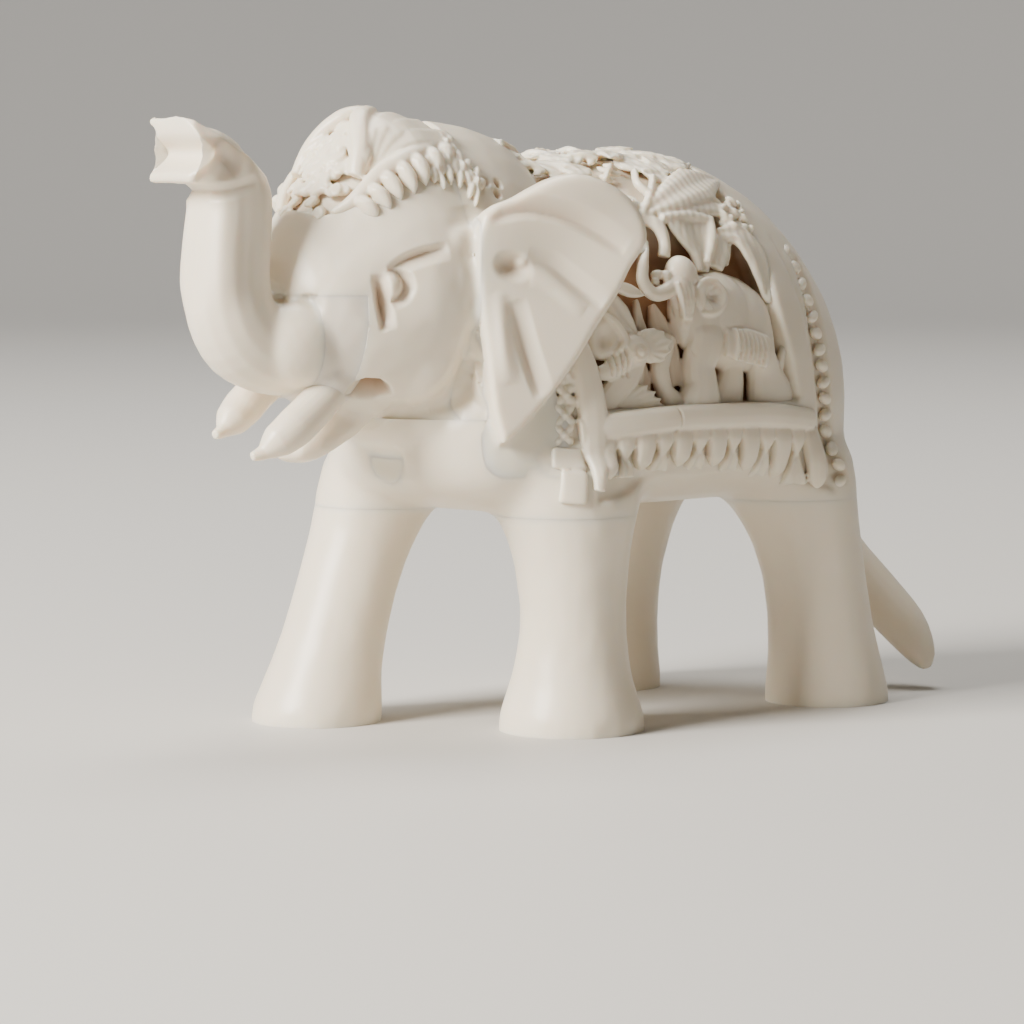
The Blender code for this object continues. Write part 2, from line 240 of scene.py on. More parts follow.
# %% Smooth lines, grooves and sunk fields
def smooth_line(points, steps=5):
    """The points joined by a smooth curve."""
    points = np.array(points, float)
    if len(points) < 3:
        return points
    padded = np.vstack([2 * points[0] - points[1], points, 2 * points[-1] - points[-2]])
    t = np.linspace(0.0, 1.0, steps, endpoint=False)[:, None]
    line = []
    for b, a, c, d in zip(padded, padded[1:], padded[2:], padded[3:]):
        line.append(0.5 * (2 * a + (c - b) * t + (2 * b - 5 * a + 4 * c - d) * t ** 2
                           + (3 * a - b - 3 * c + d) * t ** 3))
    return np.vstack(line + [points[-1:]])


def from_line(flat, line):
    """Distance of flat points from a line, how far along it they lie from 0 to 1, and on which side."""
    best = np.full(len(flat), 1e9)
    along = np.zeros(len(flat))
    side = np.zeros(len(flat))
    lengths = np.linalg.norm(np.diff(line, axis=0), axis=1)
    start = 0.0
    for a, b, length in zip(line, line[1:], lengths):
        run = (b - a) / max(length, 1e-9)
        rel = flat - a
        t = np.clip(rel @ run, 0.0, length)
        away = rel - t[:, None] * run
        d = np.hypot(away[:, 0], away[:, 1])
        nearer = d < best
        best[nearer] = d[nearer]
        along[nearer] = (start + t[nearer]) / lengths.sum()
        side[nearer] = np.sign(run[0] * rel[nearer, 1] - run[1] * rel[nearer, 0])
        start += length
    return best, along, side


def inside(flat, outline):
    """How far flat points lie inside a closed outline, less than zero outside it."""
    outline = np.array(outline, float)
    away, _, _ = from_line(flat, np.vstack([outline, outline[:1]]))
    within = np.zeros(len(flat), bool)
    for (x0, y0), (x1, y1) in zip(outline, np.roll(outline, -1, axis=0)):
        if y0 == y1:
            continue
        crosses = (flat[:, 1] < y0) != (flat[:, 1] < y1)
        at = x0 + (flat[:, 1] - y0) / (y1 - y0) * (x1 - x0)
        within ^= crosses & (flat[:, 0] < at)
    return np.where(within, away, -away)


def eased(value, low=0.0, high=1.0):
    """0 below low, 1 above high, and a smooth rise between."""
    t = np.clip((value - low) / (high - low), 0.0, 1.0)
    return t * t * (3.0 - 2.0 * t)


def groove(flat, path, half_width, depth, sharp=1.0, lean=0.0, blunt=0.0, steps=5):
    """Depth of a graver's cut along a path. sharp 1 is a V and 2 a round bottom; lean makes one wall
    steeper; blunt keeps that part of the full depth at both ends."""
    away, along, side = from_line(flat, smooth_line(path, steps))
    reach = half_width * (1.0 + lean * side)
    profile = np.clip(1.0 - away / reach, 0.0, 1.0)
    if sharp > 1.0:
        profile = eased(profile)
    ends = blunt + (1.0 - blunt) * np.sin(np.pi * np.clip(along, 0.0, 1.0)) ** 0.6
    return depth * profile * ends


def bump(flat, centre, radii, turn=0.0):
    """1 in the middle of an oval, falling smoothly to 0 at its rim."""
    rel = flat - np.array(centre, float)
    c, s = math.cos(math.radians(turn)), math.sin(math.radians(turn))
    a = (rel[:, 0] * c + rel[:, 1] * s) / radii[0]
    b = (-rel[:, 0] * s + rel[:, 1] * c) / radii[1]
    return eased(1.0 - np.clip(np.hypot(a, b), 0.0, 1.0))


# %% [markdown]
# ## Seams
# The real pieces meet at straight saw cuts. Each cutting prism is drawn in side view and runs right through
# the figure, and the intersection with the skin is one real piece.

# %% Cutting one piece out of a skin
LEG_SEAM = 21.8                     # height of the glue line over the legs
CHEST_SEAM = 31.75                  # height of the glue line under the neck
NECK_SEAM = ((20.5, 31.75), (11.0, 58.0))   # the slanted seam behind the neck: low and high end
FACE_SEAM = 25.0
ROOT_BACK, ROOT_FRONT = 36.0, 39.8
ROOT_UNDER, ROOT_TOP = 33.4, 44.3
LIP_BACK = 31.0
FAR = 75.0                          # past every surface of the figure
HAIR = 0.003                        # half the width of a seam


def prism(outline, left=FAR, right=-FAR):
    """A side-view outline, run from one side of the figure to the other."""
    bm = bmesh.new()
    ring = [bm.verts.new((forward, left, up)) for forward, up in outline]
    face = bm.faces.new(ring)
    run = bmesh.ops.extrude_face_region(bm, geom=[face])
    moved = [g for g in run["geom"] if isinstance(g, bmesh.types.BMVert)]
    bmesh.ops.translate(bm, verts=moved, vec=(0.0, right - left, 0.0))
    bmesh.ops.recalc_face_normals(bm, faces=bm.faces)
    return mesh_from(bm)


def combined(mesh, tool, operation):
    """One mesh cut by, or down to, another."""
    item = new_object("work", mesh.copy())
    cutter = new_object("tool", tool)
    cut = item.modifiers.new("cut", "BOOLEAN")
    cut.operation = operation
    cut.solver = "MANIFOLD"
    cut.object = cutter
    result = applied(item)
    bpy.data.objects.remove(cutter)
    bpy.data.meshes.remove(tool)
    return result


def seam_at(up, shift=0.0):
    """How far forward the slanted neck seam is at a height."""
    (low_f, low_u), (high_f, high_u) = NECK_SEAM
    return low_f + (high_f - low_f) * (up - low_u) / (high_u - low_u) + shift


# %% Finished pieces
SHARP = 62.0             # edges turned by more than this many degrees stay crisp
parts = {}


def piece(mesh, name, finish, *nodes, painted_recess_shade=None):
    """Moves a finished mesh from figure millimetres to the frame and makes it one named piece."""
    # Painted shade: this amount darkens the colour of each corner in the cuts and the sunk fields.
    if painted_recess_shade is not None:
        layer = mesh.attributes.new("painted_shade", "FLOAT", "POINT")
        layer.data.foreach_set("value", np.clip(painted_recess_shade, 0.0, 1.0).astype(np.float32))
    mesh.transform(TO_FRAME)
    mesh.name = name
    mesh.polygons.foreach_set("use_smooth", np.ones(len(mesh.polygons), bool))
    mesh.set_sharp_from_angle(angle=math.radians(SHARP))
    item = new_object(name, mesh)
    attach(item, "root")
    if nodes:
        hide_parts(*nodes)
    mesh.calc_loop_triangles()
    item["slot"] = finish
    parts[name] = item
    print(f"{name}: {len(mesh.loop_triangles)} triangles")
    return item


# %% [markdown]
# ## The two skins
# The body's skin needs a grain of 0.3 mm only. The head, trunk and ears carry the finest cuts, so their
# skin has a finer grain. Both are softened by about the same distance, which rounds every joint into the
# next piece, as sanding does on the real one.

# %% Melt the skins
BODY_GRAIN = 0.30
HEAD_GRAIN = 0.20
BELOW_GROUND = -2.0
LEGS = ("left_front_leg", "right_front_leg", "left_rear_leg", "right_rear_leg")
LEG_PEGS = tuple(leg + "_peg" for leg in LEGS)

CHEST_FILL = ((23.5, 0.0, 31.5), (6.3, 9.4, 4.4))      # rounds the corner between neck and chest
body_clay = clay_from("torso", "neck", "face", "chest_plug", "neck_peg", "face_peg",
                      *LEGS, *LEG_PEGS, sole=BELOW_GROUND)
lump(body_clay, *CHEST_FILL)
body_skin = fused(body_clay, BODY_GRAIN, soft=14, swollen=SWELL)
head_clay = clay_from("torso", "neck", "face", "trunk_root", "trunk", "chest_plug",
                      "neck_peg", "face_peg", "trunk_peg")
print("body skin:", len(body_skin.vertices), "corners")

# %% [markdown]
# ## Ears
# Each ear is a leaf of bone that grows out of the neck. A slab alone would meet the neck at a sharp
# corner, so a few soft lumps bridge the corner before the head's skin is melted.

# %% Ear axes and bridges
EAR_FRONT, EAR_SIDE = 25.0, 12.6    # where the ear's front edge is let into the neck
EAR_FLARE = math.radians(25.0)
BACK, OUT = math.cos(EAR_FLARE), math.sin(EAR_FLARE)
SIDES = (("left", 1), ("right", -1))


def ear_axes(points, side):
    """Distance back along an ear, height, and distance outwards from its middle sheet."""
    forward = points[:, 0] - EAR_FRONT
    left = side * points[:, 1] - EAR_SIDE
    return -forward * BACK + left * OUT, points[:, 2], forward * OUT + left * BACK


def ear_point(along, up, outward, side):
    """The figure point at a place on an ear."""
    return Vector((EAR_FRONT - along * BACK + outward * OUT,
                   side * (EAR_SIDE + along * OUT + outward * BACK), up))


EAR_BRIDGES = (((0.4, 49.4, -1.7), (4.4, 1.9, 2.4)), ((-0.2, 46.0, -1.4), (4.7, 2.0, 3.3)),
               ((0.4, 42.6, -1.6), (3.6, 1.9, 3.0)),
               ((1.2, 39.0, -2.0), (2.4, 1.7, 3.2)), ((2.0, 35.5, -2.3), (2.2, 1.9, 3.0)),
               ((2.8, 32.4, -2.7), (2.2, 2.1, 2.8)))
for word, side in SIDES:
    held = mesh_from(clay_from(word + "_ear"))
    head_clay.from_mesh(held)
    bpy.data.meshes.remove(held)
    for (along, up, outward), radii in EAR_BRIDGES:
        lump(head_clay, ear_point(along, up, outward, side), radii)
HEAD_FILLS = (((36.6, 4.9, 35.8), (2.9, 2.0, 2.4)),      # closes the pocket of the CAD tusk
              ((38.6, 3.1, 39.6), (6.2, 4.2, 4.9)),      # the root flows into the face and the trunk
              ((27.0, 6.0, 39.0), (6.0, 5.6, 6.6)))      # the hanging cheek
for (forward, left, up), radii in HEAD_FILLS:
    for side in (1, -1):
        lump(head_clay, (forward, side * left, up), radii)
lump(head_clay, *CHEST_FILL)
LIP_BARS = (((52.2, -3.7, 61.1), (51.6, 1.8, 61.2), 0.75),    # the upper lip of the trunk: ends and radius
            ((52.2, -3.4, 55.9), (52.0, 2.2, 55.9), 1.1))      # the lower lip
LIP_PARTS = 8
for start, end, radius in LIP_BARS:
    for n in range(LIP_PARTS + 1):
        lump(head_clay, Vector(start).lerp(Vector(end), n / LIP_PARTS), (radius, 0.9, radius), detail=2)
head_skin = fused(head_clay, HEAD_GRAIN, soft=30, swollen=SWELL)
head_tree = BVHTree.FromPolygons([v.co for v in head_skin.vertices],
                                 [p.vertices for p in head_skin.polygons])
print("head skin:", len(head_skin.vertices), "corners")

# %% [markdown]
# ## Face
# The eye is drawn with three cuts only: a long brow slit that is steep on its upper side, a crescent behind
# the eyeball, and a slit in front of it. The ball between them stays round in a shallow socket. The fold
# of the cheek, the mouth, the jaw line and three small holes high on the neck follow. The cuts are laid out
# in side view and go in on both sides of the head alike.

# %% Cuts on the sides of the head
CROWN_FORWARD, CROWN_UP, CROWN_ROUND = 28.0, 46.0, 14.5      # the cylinder that the crown is laid on
CROWN_TURN = math.radians(4.0)      # about one millimetre on that cylinder
CROWN_EDGE = [(8.0, -9.0), (8.0, 3.6), (9.5, 5.4), (13.0, 6.6), (16.5, 7.0), (20.0, 7.2), (24.0, 7.0),
              (27.0, 6.2), (28.5, 4.5), (28.5, -9.0)]
points, normals = corners(head_skin), facings(head_skin)
profile = points[:, [0, 2]]
depth = np.zeros(len(points))       # how far each corner is pushed in
painted_shade = np.zeros(len(points))      # how much painted shade darkens it in the cuts
on_head = (points[:, 0] > 17.0) & (points[:, 0] < 42.5) & (points[:, 2] > 24.0)
for side in (1, -1):
    facing = eased(side * normals[:, 1], 0.05, 0.35) * on_head
    facing[side * points[:, 1] < 1.0] = 0.0
    here = facing > 0.0
    flat = profile[here]
    brow = groove(flat, [(34.1, 46.8), (32.7, 47.8), (30.9, 48.5), (28.4, 49.0)], 0.9, 0.95, lean=0.45)
    crescent = groove(flat, [(34.2, 47.0), (33.2, 46.5), (32.7, 45.4), (33.0, 44.3), (34.2, 43.6)],
                      0.72, 1.0, lean=-0.3)
    slit = groove(flat, [(35.3, 46.4), (35.15, 44.6), (34.9, 43.0), (34.5, 40.9)], 0.8, 1.3, lean=-0.35)
    ball = 0.45 * bump(flat, (34.0, 45.3), (1.2, 1.9))
    socket = 0.45 * bump(flat, (33.6, 44.9), (4.5, 4.4))
    cheek = groove(flat, [(24.9, 53.0), (24.3, 48.0), (23.9, 43.0), (24.1, 38.0), (26.3, 33.5), (30.0, 31.4)],
                   2.6, 1.1, sharp=2.0, lean=0.2, blunt=0.1)
    cheek *= eased(13.6 - side * points[here, 1])
    mouth_in = inside(flat, [(37.0, 34.6), (36.3, 35.6), (35.2, 36.2), (33.8, 36.1), (32.6, 35.4),
                             (31.7, 34.4), (33.2, 33.8), (35.2, 34.0)])
    mouth = 2.4 * eased(mouth_in, -0.1, 0.8) * eased(flat[:, 1], 33.4, 35.0)
    jaw = groove(flat, [(34.2, 34.7), (31.6, 33.4), (28.5, 32.4)], 0.9, 0.3, sharp=2.0)
    holes = sum(bump(flat, at, (0.6, 0.6)) for at in ((20.9, 55.2), (19.2, 55.0), (20.0, 54.0)))
    holes *= side * points[here, 1] < 11.0
    deep = np.maximum.reduce([brow, crescent, slit])
    depth[here] += facing[here] * (deep + socket - ball + cheek + mouth + jaw + 1.1 * holes)
    # Painted shade: the brow, the slit, the mouth and the holes are coloured darker where shade falls in
    # them.
    painted_shade[here] = np.maximum(painted_shade[here], facing[here] * np.maximum.reduce(
        [0.3 * deep, 0.8 * mouth / 2.2, 0.5 * holes, 0.45 * slit]))
ring = np.stack([np.arctan2(points[:, 2] - CROWN_UP, points[:, 0] - CROWN_FORWARD) / CROWN_TURN,
                 np.abs(points[:, 1])], axis=1)
under_ornament = inside(ring, CROWN_EDGE)
depth += 1.1 * eased(under_ornament, 0.0, 0.9) * (points[:, 2] > 48.0) * (points[:, 0] > 15.0)
points -= normals * depth[:, None]
print("deepest cut on the head:", round(float(depth.max()), 2), "mm")

# %% [markdown]
# ## The modelling of the ears
# The upper rim is rolled over, with a crease under it. Below lie a shallow dish, a dimple where the ear
# opens, and two folds that run down and back. Only the side that faces outwards is carved.

# %% Creases and folds of the ears
for side in (1, -1):
    along, up, outward = ear_axes(points, side)
    sheet = np.stack([along, up], axis=1)
    faces_out = normals[:, 0] * OUT + side * normals[:, 1] * BACK
    on_ear = eased(faces_out, 0.15, 0.5) * eased(outward, -0.9, 0.2) * eased(along, 0.2, 2.2)
    on_ear[(up < 28.0) | (up > 58.0) | (side * points[:, 1] < 8.0)] = 0.0
    here = on_ear > 0.0
    flat = sheet[here]
    rim_line = [(0.8, 51.6), (4.2, 52.3), (7.4, 51.9), (9.6, 51.2), (11.8, 50.1), (14.6, 48.4)]
    rim = groove(flat, rim_line, 1.3, 0.75, lean=0.45, blunt=0.1)
    roll = -0.35 * bump(flat, (8.0, 54.0), (8.5, 2.6), -8.0)
    dish = 0.55 * bump(flat, (8.5, 47.5), (8.0, 5.5), -15.0)
    dimple = 1.25 * bump(flat, (3.1, 47.0), (2.4, 1.7), -12.0) - 0.45 * bump(flat, (4.0, 47.3), (0.9, 0.7))
    fold = groove(flat, [(4.6, 47.5), (7.0, 46.9), (9.3, 45.2), (12.3, 43.0)], 1.2, 0.5, lean=0.4)
    fold_lip = -0.25 * groove(flat, [(5.0, 45.9), (7.5, 45.0), (10.5, 42.6)], 1.3, 1.0, sharp=2.0)
    valley = groove(flat, [(3.0, 43.6), (4.1, 39.6), (5.1, 36.6), (6.0, 34.2)], 1.2, 0.85, lean=0.3)
    ridge_line = -0.45 * groove(flat, [(1.3, 44.5), (1.9, 40.0), (2.8, 35.5)], 1.5, 1.0, sharp=2.0)
    depth_here = rim + roll + dish + dimple + fold + fold_lip + valley + ridge_line
    push = np.zeros(len(points))
    push[here] = depth_here * on_ear[here]
    points -= push[:, None] * np.array([OUT, side * BACK, 0.0])
    # Painted shade in the rim crease, the fold, the valley and the dimple of the ear.
    painted_shade[here] = np.maximum(painted_shade[here], on_ear[here] * (0.35 * rim + 0.25 * fold + 0.2 * valley
                                                            + 0.3 * np.clip(dimple, 0.0, 1.0)))
# %% The tip of the trunk
TIP_FROM = 43.0                     # nothing behind this belongs to the tip
COLUMN_MIDDLE = 46.4                # the standing part of the trunk is squarish round this line
SQUARENESS = 3.4                    # 2 would leave it round
tip = points[:, 0] > TIP_FROM
flat = points[:, [0, 2]]
nostril = 1.8 * np.exp(-((points[:, 2] - 58.1) / 1.25) ** 2) * eased(normals[:, 0], 0.1, 0.6)
nostril *= eased(points[:, 0], 50.5, 52.0) * eased(points[:, 2], 53.0, 56.0)
sideways = eased(np.abs(normals[:, 1]), 0.2, 0.6)
cup = 0.9 * bump(flat, (48.6, 57.4), (2.7, 2.6), 25.0) * sideways
ledge = groove(flat, [(52.6, 54.5), (50.6, 54.3), (48.4, 54.5), (46.0, 55.2)], 0.9, 0.7, blunt=0.5)
ledge *= np.maximum(sideways, eased(-normals[:, 2], -0.2, 0.3))
points[tip] -= (normals * (cup + ledge)[:, None])[tip]
points[tip, 0] -= nostril[tip]
# Painted shade in the cup of the trunk tip.
painted_shade[tip] = np.maximum(painted_shade, 0.25 * cup)[tip]
column = eased(points[:, 2], 42.0, 46.0) * eased(points[:, 2], 56.5, 54.0) * (points[:, 0] > 41.5)
away = np.stack([points[:, 0] - COLUMN_MIDDLE, points[:, 1]], axis=1)
c, s = np.abs(away.T) / np.maximum(np.linalg.norm(away, axis=1), 0.1)
square = (c ** SQUARENESS + s ** SQUARENESS) ** (-1.0 / SQUARENESS) - 1.07
points[:, :2] += away * (square * column)[:, None]
put(head_skin, points)
# The painted shade of the cuts is stored on the corners of the head skin.
layer = head_skin.attributes.new("painted_shade", "FLOAT", "POINT")
layer.data.foreach_set("value", np.clip(painted_shade, 0.0, 1.0).astype(np.float32))
print("ears carved")

# %% Cut the head into its pieces
EAR_MIDDLE = (11.0, 43.0, 2.8)      # in ear axes
EAR_BLOCK = (22.0, 8.0, 34.0)       # a block that holds one ear and nothing else


def ear_zone(side):
    """The block that holds one ear."""
    bm = bmesh.new()
    turn = Matrix((Vector((-BACK, side * OUT, 0.0)), Vector((OUT, side * BACK, 0.0)),
                   Vector((0.0, 0.0, 1.0)))).transposed().to_4x4()
    bmesh.ops.create_cube(bm, size=1.0, matrix=Matrix.Translation(ear_point(*EAR_MIDDLE, side)) @ turn
                          @ Matrix.Diagonal((*EAR_BLOCK, 1.0)))
    bmesh.ops.recalc_face_normals(bm, faces=bm.faces)
    return mesh_from(bm)


rest = head_skin
for word, side in SIDES:
    piece(one_body(combined(rest, ear_zone(side), "INTERSECT")), word + "_ear_carved", "white_bone",
          word + "_ear")
    rest = combined(rest, ear_zone(side), "DIFFERENCE")
FOREHEAD_GAP = ((41.95, 44.4), (41.95, 46.5), (41.0, 51.0), (41.0, FAR))
HEAD_ZONES = {
    "neck": [(20.5 + HAIR, CHEST_SEAM), (FACE_SEAM - HAIR, CHEST_SEAM), (FACE_SEAM - HAIR, FAR),
             (seam_at(FAR, HAIR), FAR)],
    "face": [(FACE_SEAM + HAIR, FAR), (FACE_SEAM + HAIR, CHEST_SEAM), (LIP_BACK, CHEST_SEAM),
             (LIP_BACK, 22.5), (FAR, 22.5), (FAR, ROOT_UNDER), (ROOT_BACK - HAIR, ROOT_UNDER),
             (ROOT_BACK - HAIR, ROOT_TOP + HAIR), (ROOT_FRONT, ROOT_TOP + HAIR), *FOREHEAD_GAP],
    "trunk_root": [(ROOT_BACK + HAIR, ROOT_UNDER), (ROOT_FRONT - HAIR, ROOT_UNDER),
                   (ROOT_FRONT - HAIR, ROOT_TOP - HAIR), (ROOT_BACK + HAIR, ROOT_TOP - HAIR)],
    "trunk": [(ROOT_FRONT + HAIR, 33.0), (FAR, 33.0), (FAR, FAR), *reversed(FOREHEAD_GAP),
              (ROOT_FRONT + HAIR, ROOT_TOP)],
}
for name, outline in HEAD_ZONES.items():
    finish = "grey_bone" if name == "trunk_root" else "white_bone"
    piece(one_body(combined(rest, prism(outline), "INTERSECT")), name + "_carved", finish, name)

# %% [markdown]
# ## The carved fields of the torso
# The jungle, the borders and the leaves on the back were cut into the bone, so the torso is first sunk
# there: deep behind the scene, less deep under the leaves, and a little under the borders and the fringe.
# The walls stretch the skin, so it is melted once more.

# %% Sink the fields
SCENE_DEPTH, LEAF_DEPTH, BORDER_DEPTH = 3.2, 1.3, 0.8
SCENE_FLOOR, SCENE_TOP = 32.5, 47.0
CARVED = [(15.8, 41.0), (13.3, SCENE_FLOOR), (-14.4, SCENE_FLOOR), (-13.0, 38.0), (-11.9, 43.4),
          (-12.4, 47.2), (-11.6, 50.5), (-11.2, 53.5), (-10.5, 56.0), (-10.5, FAR), (15.0, FAR), (15.4, 50.0)]
FRONT_BORDER = [(14.6, 37.5), (17.6, 37.5), (17.5, 29.2), (14.4, 29.2)]
REAR_BORDER = [(-17.4, 47.5), (-19.6, 47.0), (-20.2, 38.0), (-21.2, 23.6), (-18.6, 24.0), (-17.9, 31.0),
               (-17.2, 40.0)]
FRINGE = [(13.8, 29.6), (3.4, 30.5), (-9.4, 30.2), (-17.4, 29.0), (-19.5, 22.6), (-9.1, 25.3), (4.4, 25.3),
          (14.0, 23.2)]

body_tree = BVHTree.FromPolygons([v.co for v in body_skin.vertices],
                                 [p.vertices for p in body_skin.polygons])
points, normals = corners(body_skin), facings(body_skin)
flat = points[:, [0, 2]]
sides_out = eased(np.abs(normals[:, 1]), 0.25, 0.55)
field = inside(flat, CARVED)
deeper = 1.0 - eased(points[:, 2], SCENE_TOP + 1.0, SCENE_TOP + 5.5)
field_depth = (LEAF_DEPTH + (SCENE_DEPTH - LEAF_DEPTH) * deeper) * eased(field, -0.1, 0.35)
border_depth = BORDER_DEPTH * sides_out * np.maximum(eased(inside(flat, FRONT_BORDER), -0.1, 0.3),
                                                     eased(inside(flat, REAR_BORDER), -0.1, 0.3))
fringe_depth = 0.6 * sides_out * eased(inside(flat, FRINGE), -0.1, 0.4)
sunk = np.maximum.reduce([field_depth, border_depth, fringe_depth])
top_only = eased(normals[:, 2], -0.6, -0.2)          # nothing is cut into the belly
points -= normals * (sunk * top_only)[:, None]
line = groove(flat, [(-15.0, 49.0), (-16.3, 43.0), (-17.2, 37.0), (-18.0, 31.0), (-18.3, 26.0)], 0.4, 0.4,
              blunt=0.6)
points -= normals * (line * sides_out)[:, None]
put(body_skin, points)
clay = bmesh.new()
clay.from_mesh(body_skin)
body_skin = fused(clay, BODY_GRAIN, soft=2)
print("body skin:", len(body_skin.vertices), "corners")

# %% Cut the legs off the body
for name in LEGS:
    left, right = (FAR, 0.0) if name.startswith("left") else (0.0, -FAR)
    start, end = (-FAR, 0.0) if "rear" in name else (0.0, FAR)
    zone = prism([(start, 0.0), (end, 0.0), (end, LEG_SEAM - HAIR), (start, LEG_SEAM - HAIR)], left, right)
    piece(one_body(combined(body_skin, zone, "INTERSECT")), name + "_carved", "white_bone", name)

# %% Cut the torso out of the body
PLUG_SWELL = 0.05        # the plug keeps its size, so that only its outline shows
TORSO_ZONE = [(-FAR, LEG_SEAM + HAIR), (29.3, LEG_SEAM + HAIR), (29.3, CHEST_SEAM - HAIR),
              (20.5 - HAIR, CHEST_SEAM - HAIR), (seam_at(FAR, -HAIR), FAR), (-FAR, FAR)]
torso_skin = one_body(combined(body_skin, prism(TORSO_ZONE), "INTERSECT"))
plug = fused(clay_from("chest_plug", swell=PLUG_SWELL), BODY_GRAIN)
plug_piece = combined(plug, body_skin.copy(), "INTERSECT")
torso_skin = combined(torso_skin, plug, "DIFFERENCE")
# Painted shade: the sunk fields of the torso are coloured darker the deeper they lie under the old surface.
points = corners(torso_skin)
below = np.array([(body_tree.find_nearest(Vector(p))[3] or 0.0) for p in points])
below[inside(points[:, [0, 2]], TORSO_ZONE) < 0.02] = 0.0
piece(torso_skin, "torso_carved", "white_bone", "torso", painted_recess_shade=eased(below, 0.8, 3.3))
piece(plug_piece, "chest_plug_carved", "filler", "chest_plug")

# %% [markdown]
# ## Carved relief
# The scene, the borders and the leaves are laid out flat, as the carver draws them, and wrapped on the
# torso afterwards. A flat place has three numbers: forward, up (or round the back), and height over the
# old surface of the torso, so a height below zero lies inside the sunk field. Ridges, leaves and lumps are
# melted together at a fine grain, cut with fine lines, and wrapped on the body by a map of its surface.

# %% Ridges, leaves and pebbles on the flat
def ridge(bm, path, widths, thick=1.0, crease=0.0, square=2.0, around=12, steps=4, blunt=False):
    """A smooth ridge along a path of flat places. Its width runs through the given values, crease cuts a
    valley into its back (or raises a rib when less than zero), and square above 2 flattens it."""
    line = smooth_line(path, steps)
    count = len(line)
    spread = np.interp(np.linspace(0, 1, count), np.linspace(0, 1, len(widths)), widths)
    deep = np.interp(np.linspace(0, 1, count), np.linspace(0, 1, len(np.atleast_1d(thick))),
                     np.atleast_1d(thick))
    run = np.gradient(line, axis=0)
    run /= np.linalg.norm(run, axis=1)[:, None] + 1e-9
    across = np.cross(run, (0.0, 0.0, 1.0))
    across /= np.linalg.norm(across, axis=1)[:, None] + 1e-9
    rise = np.cross(across, run)
    if blunt:
        lengthen = (deep + spread) / 8.0
        line[0] -= run[0] * lengthen[0]
        line[-1] += run[-1] * lengthen[-1]
    made = bmesh.ops.create_grid(bm, x_segments=count - 1, y_segments=around, size=1.0)["verts"]
    for corner in made:
        i = round((corner.co.x + 1.0) / 2.0 * (count - 1))
        turn = (corner.co.y + 1.0) * math.pi
        c, s = math.cos(turn), math.sin(turn)
        c = math.copysign(abs(c) ** (2.0 / square), c)
        s = math.copysign(abs(s) ** (2.0 / square), s)
        top = s * deep[i] / 2.0
        if s > 0.0:
            top -= crease * math.exp(-(c / 0.4) ** 2)
        corner.co = Vector(line[i] + across[i] * c * spread[i] / 2.0 + rise[i] * top)
    bmesh.ops.remove_doubles(bm, verts=made, dist=0.002)
    rims = [edge for edge in bm.edges if edge.is_boundary]
    if rims:
        bmesh.ops.holes_fill(bm, edges=rims)


def leaf(bm, start, end, width, thick=0.9, crease=0.22, bend=0.0, belly=0.5):
    """A pointed leaf between two flat places, bent sideways and lifted in its middle."""
    start, end = np.array(start, float), np.array(end, float)
    run = end - start
    aside = np.array([-run[1], run[0], 0.0]) * bend
    path = [start, start + run * 0.3 + aside, start + run * 0.68 + aside, end]
    ridge(bm, path, [0.25 * width, 0.85 * width, width, (0.4 + 0.5 * belly) * width, 0.05],
          [thick, thick, 0.8 * thick, 0.4 * thick], crease)


def pebble(bm, centre, radii, turn=0.0, detail=2):
    """An oval pebble on the flat, turned about the height axis."""
    lump(bm, centre, radii, Matrix.Rotation(math.radians(turn), 4, "Z"), detail)


def fan(bm, root, tips, width, thick=0.8, crease=0.15):
    """Leaves or lobes that spread from one root."""
    for tip in tips:
        leaf(bm, root, tip, width, thick, crease, belly=1.0)


# %% Wrapping the flat on the body
OUTSIDE = 40.0           # rays start this far from the middle, outside every surface of the torso


def surface_map(tree, first, second, spacing, ray):
    """Samples a surface where rays from a grid of flat places meet it. Returns a function that takes flat
    places and gives figure points."""
    a_values = np.arange(first[0], first[1] + spacing, spacing)
    b_values = np.arange(second[0], second[1] + spacing, spacing)
    places = np.zeros((len(a_values), len(b_values), 3))
    faces = np.zeros_like(places)
    for i, a in enumerate(a_values):
        for j, b in enumerate(b_values):
            origin, direction = ray(a, b)
            hit, normal, _, _ = tree.ray_cast(origin, direction)
            if hit is None:
                hit, normal, _, _ = tree.find_nearest(origin + direction * OUTSIDE)
            places[i, j], faces[i, j] = hit, normal
    for _ in range(3):
        middle = faces.copy()
        middle[1:-1, 1:-1] = (faces[1:-1, 1:-1] + faces[:-2, 1:-1] + faces[2:, 1:-1]
                              + faces[1:-1, :-2] + faces[1:-1, 2:]) / 5.0
        faces = middle
    faces /= np.linalg.norm(faces, axis=2)[:, :, None]

    def blend(grid, a, b):
        i = np.clip(((a - a_values[0]) / spacing).astype(int), 0, len(a_values) - 2)
        j = np.clip(((b - b_values[0]) / spacing).astype(int), 0, len(b_values) - 2)
        s = np.clip((a - a_values[i]) / spacing, -1.0, 2.0)[:, None]
        t = np.clip((b - b_values[j]) / spacing, -1.0, 2.0)[:, None]
        return ((1 - s) * (1 - t) * grid[i, j] + s * (1 - t) * grid[i + 1, j]
                + (1 - s) * t * grid[i, j + 1] + s * t * grid[i + 1, j + 1])

    def wrap(flat):
        facing = blend(faces, flat[:, 0], flat[:, 1])
        facing /= np.linalg.norm(facing, axis=1)[:, None]
        return blend(places, flat[:, 0], flat[:, 1]) + facing * flat[:, 2:3]

    return wrap


AXIS_UP = 38.0           # the long axis that the back is wrapped round
ROUND = 18.0             # its radius: one millimetre on the flat is one millimetre on this cylinder
DEGREE = math.radians(1.0) * ROUND


def flank_ray(side):
    """Rays from one side straight to the middle."""
    return lambda forward, up: (Vector((forward, side * OUTSIDE, up)), Vector((0.0, -side, 0.0)))


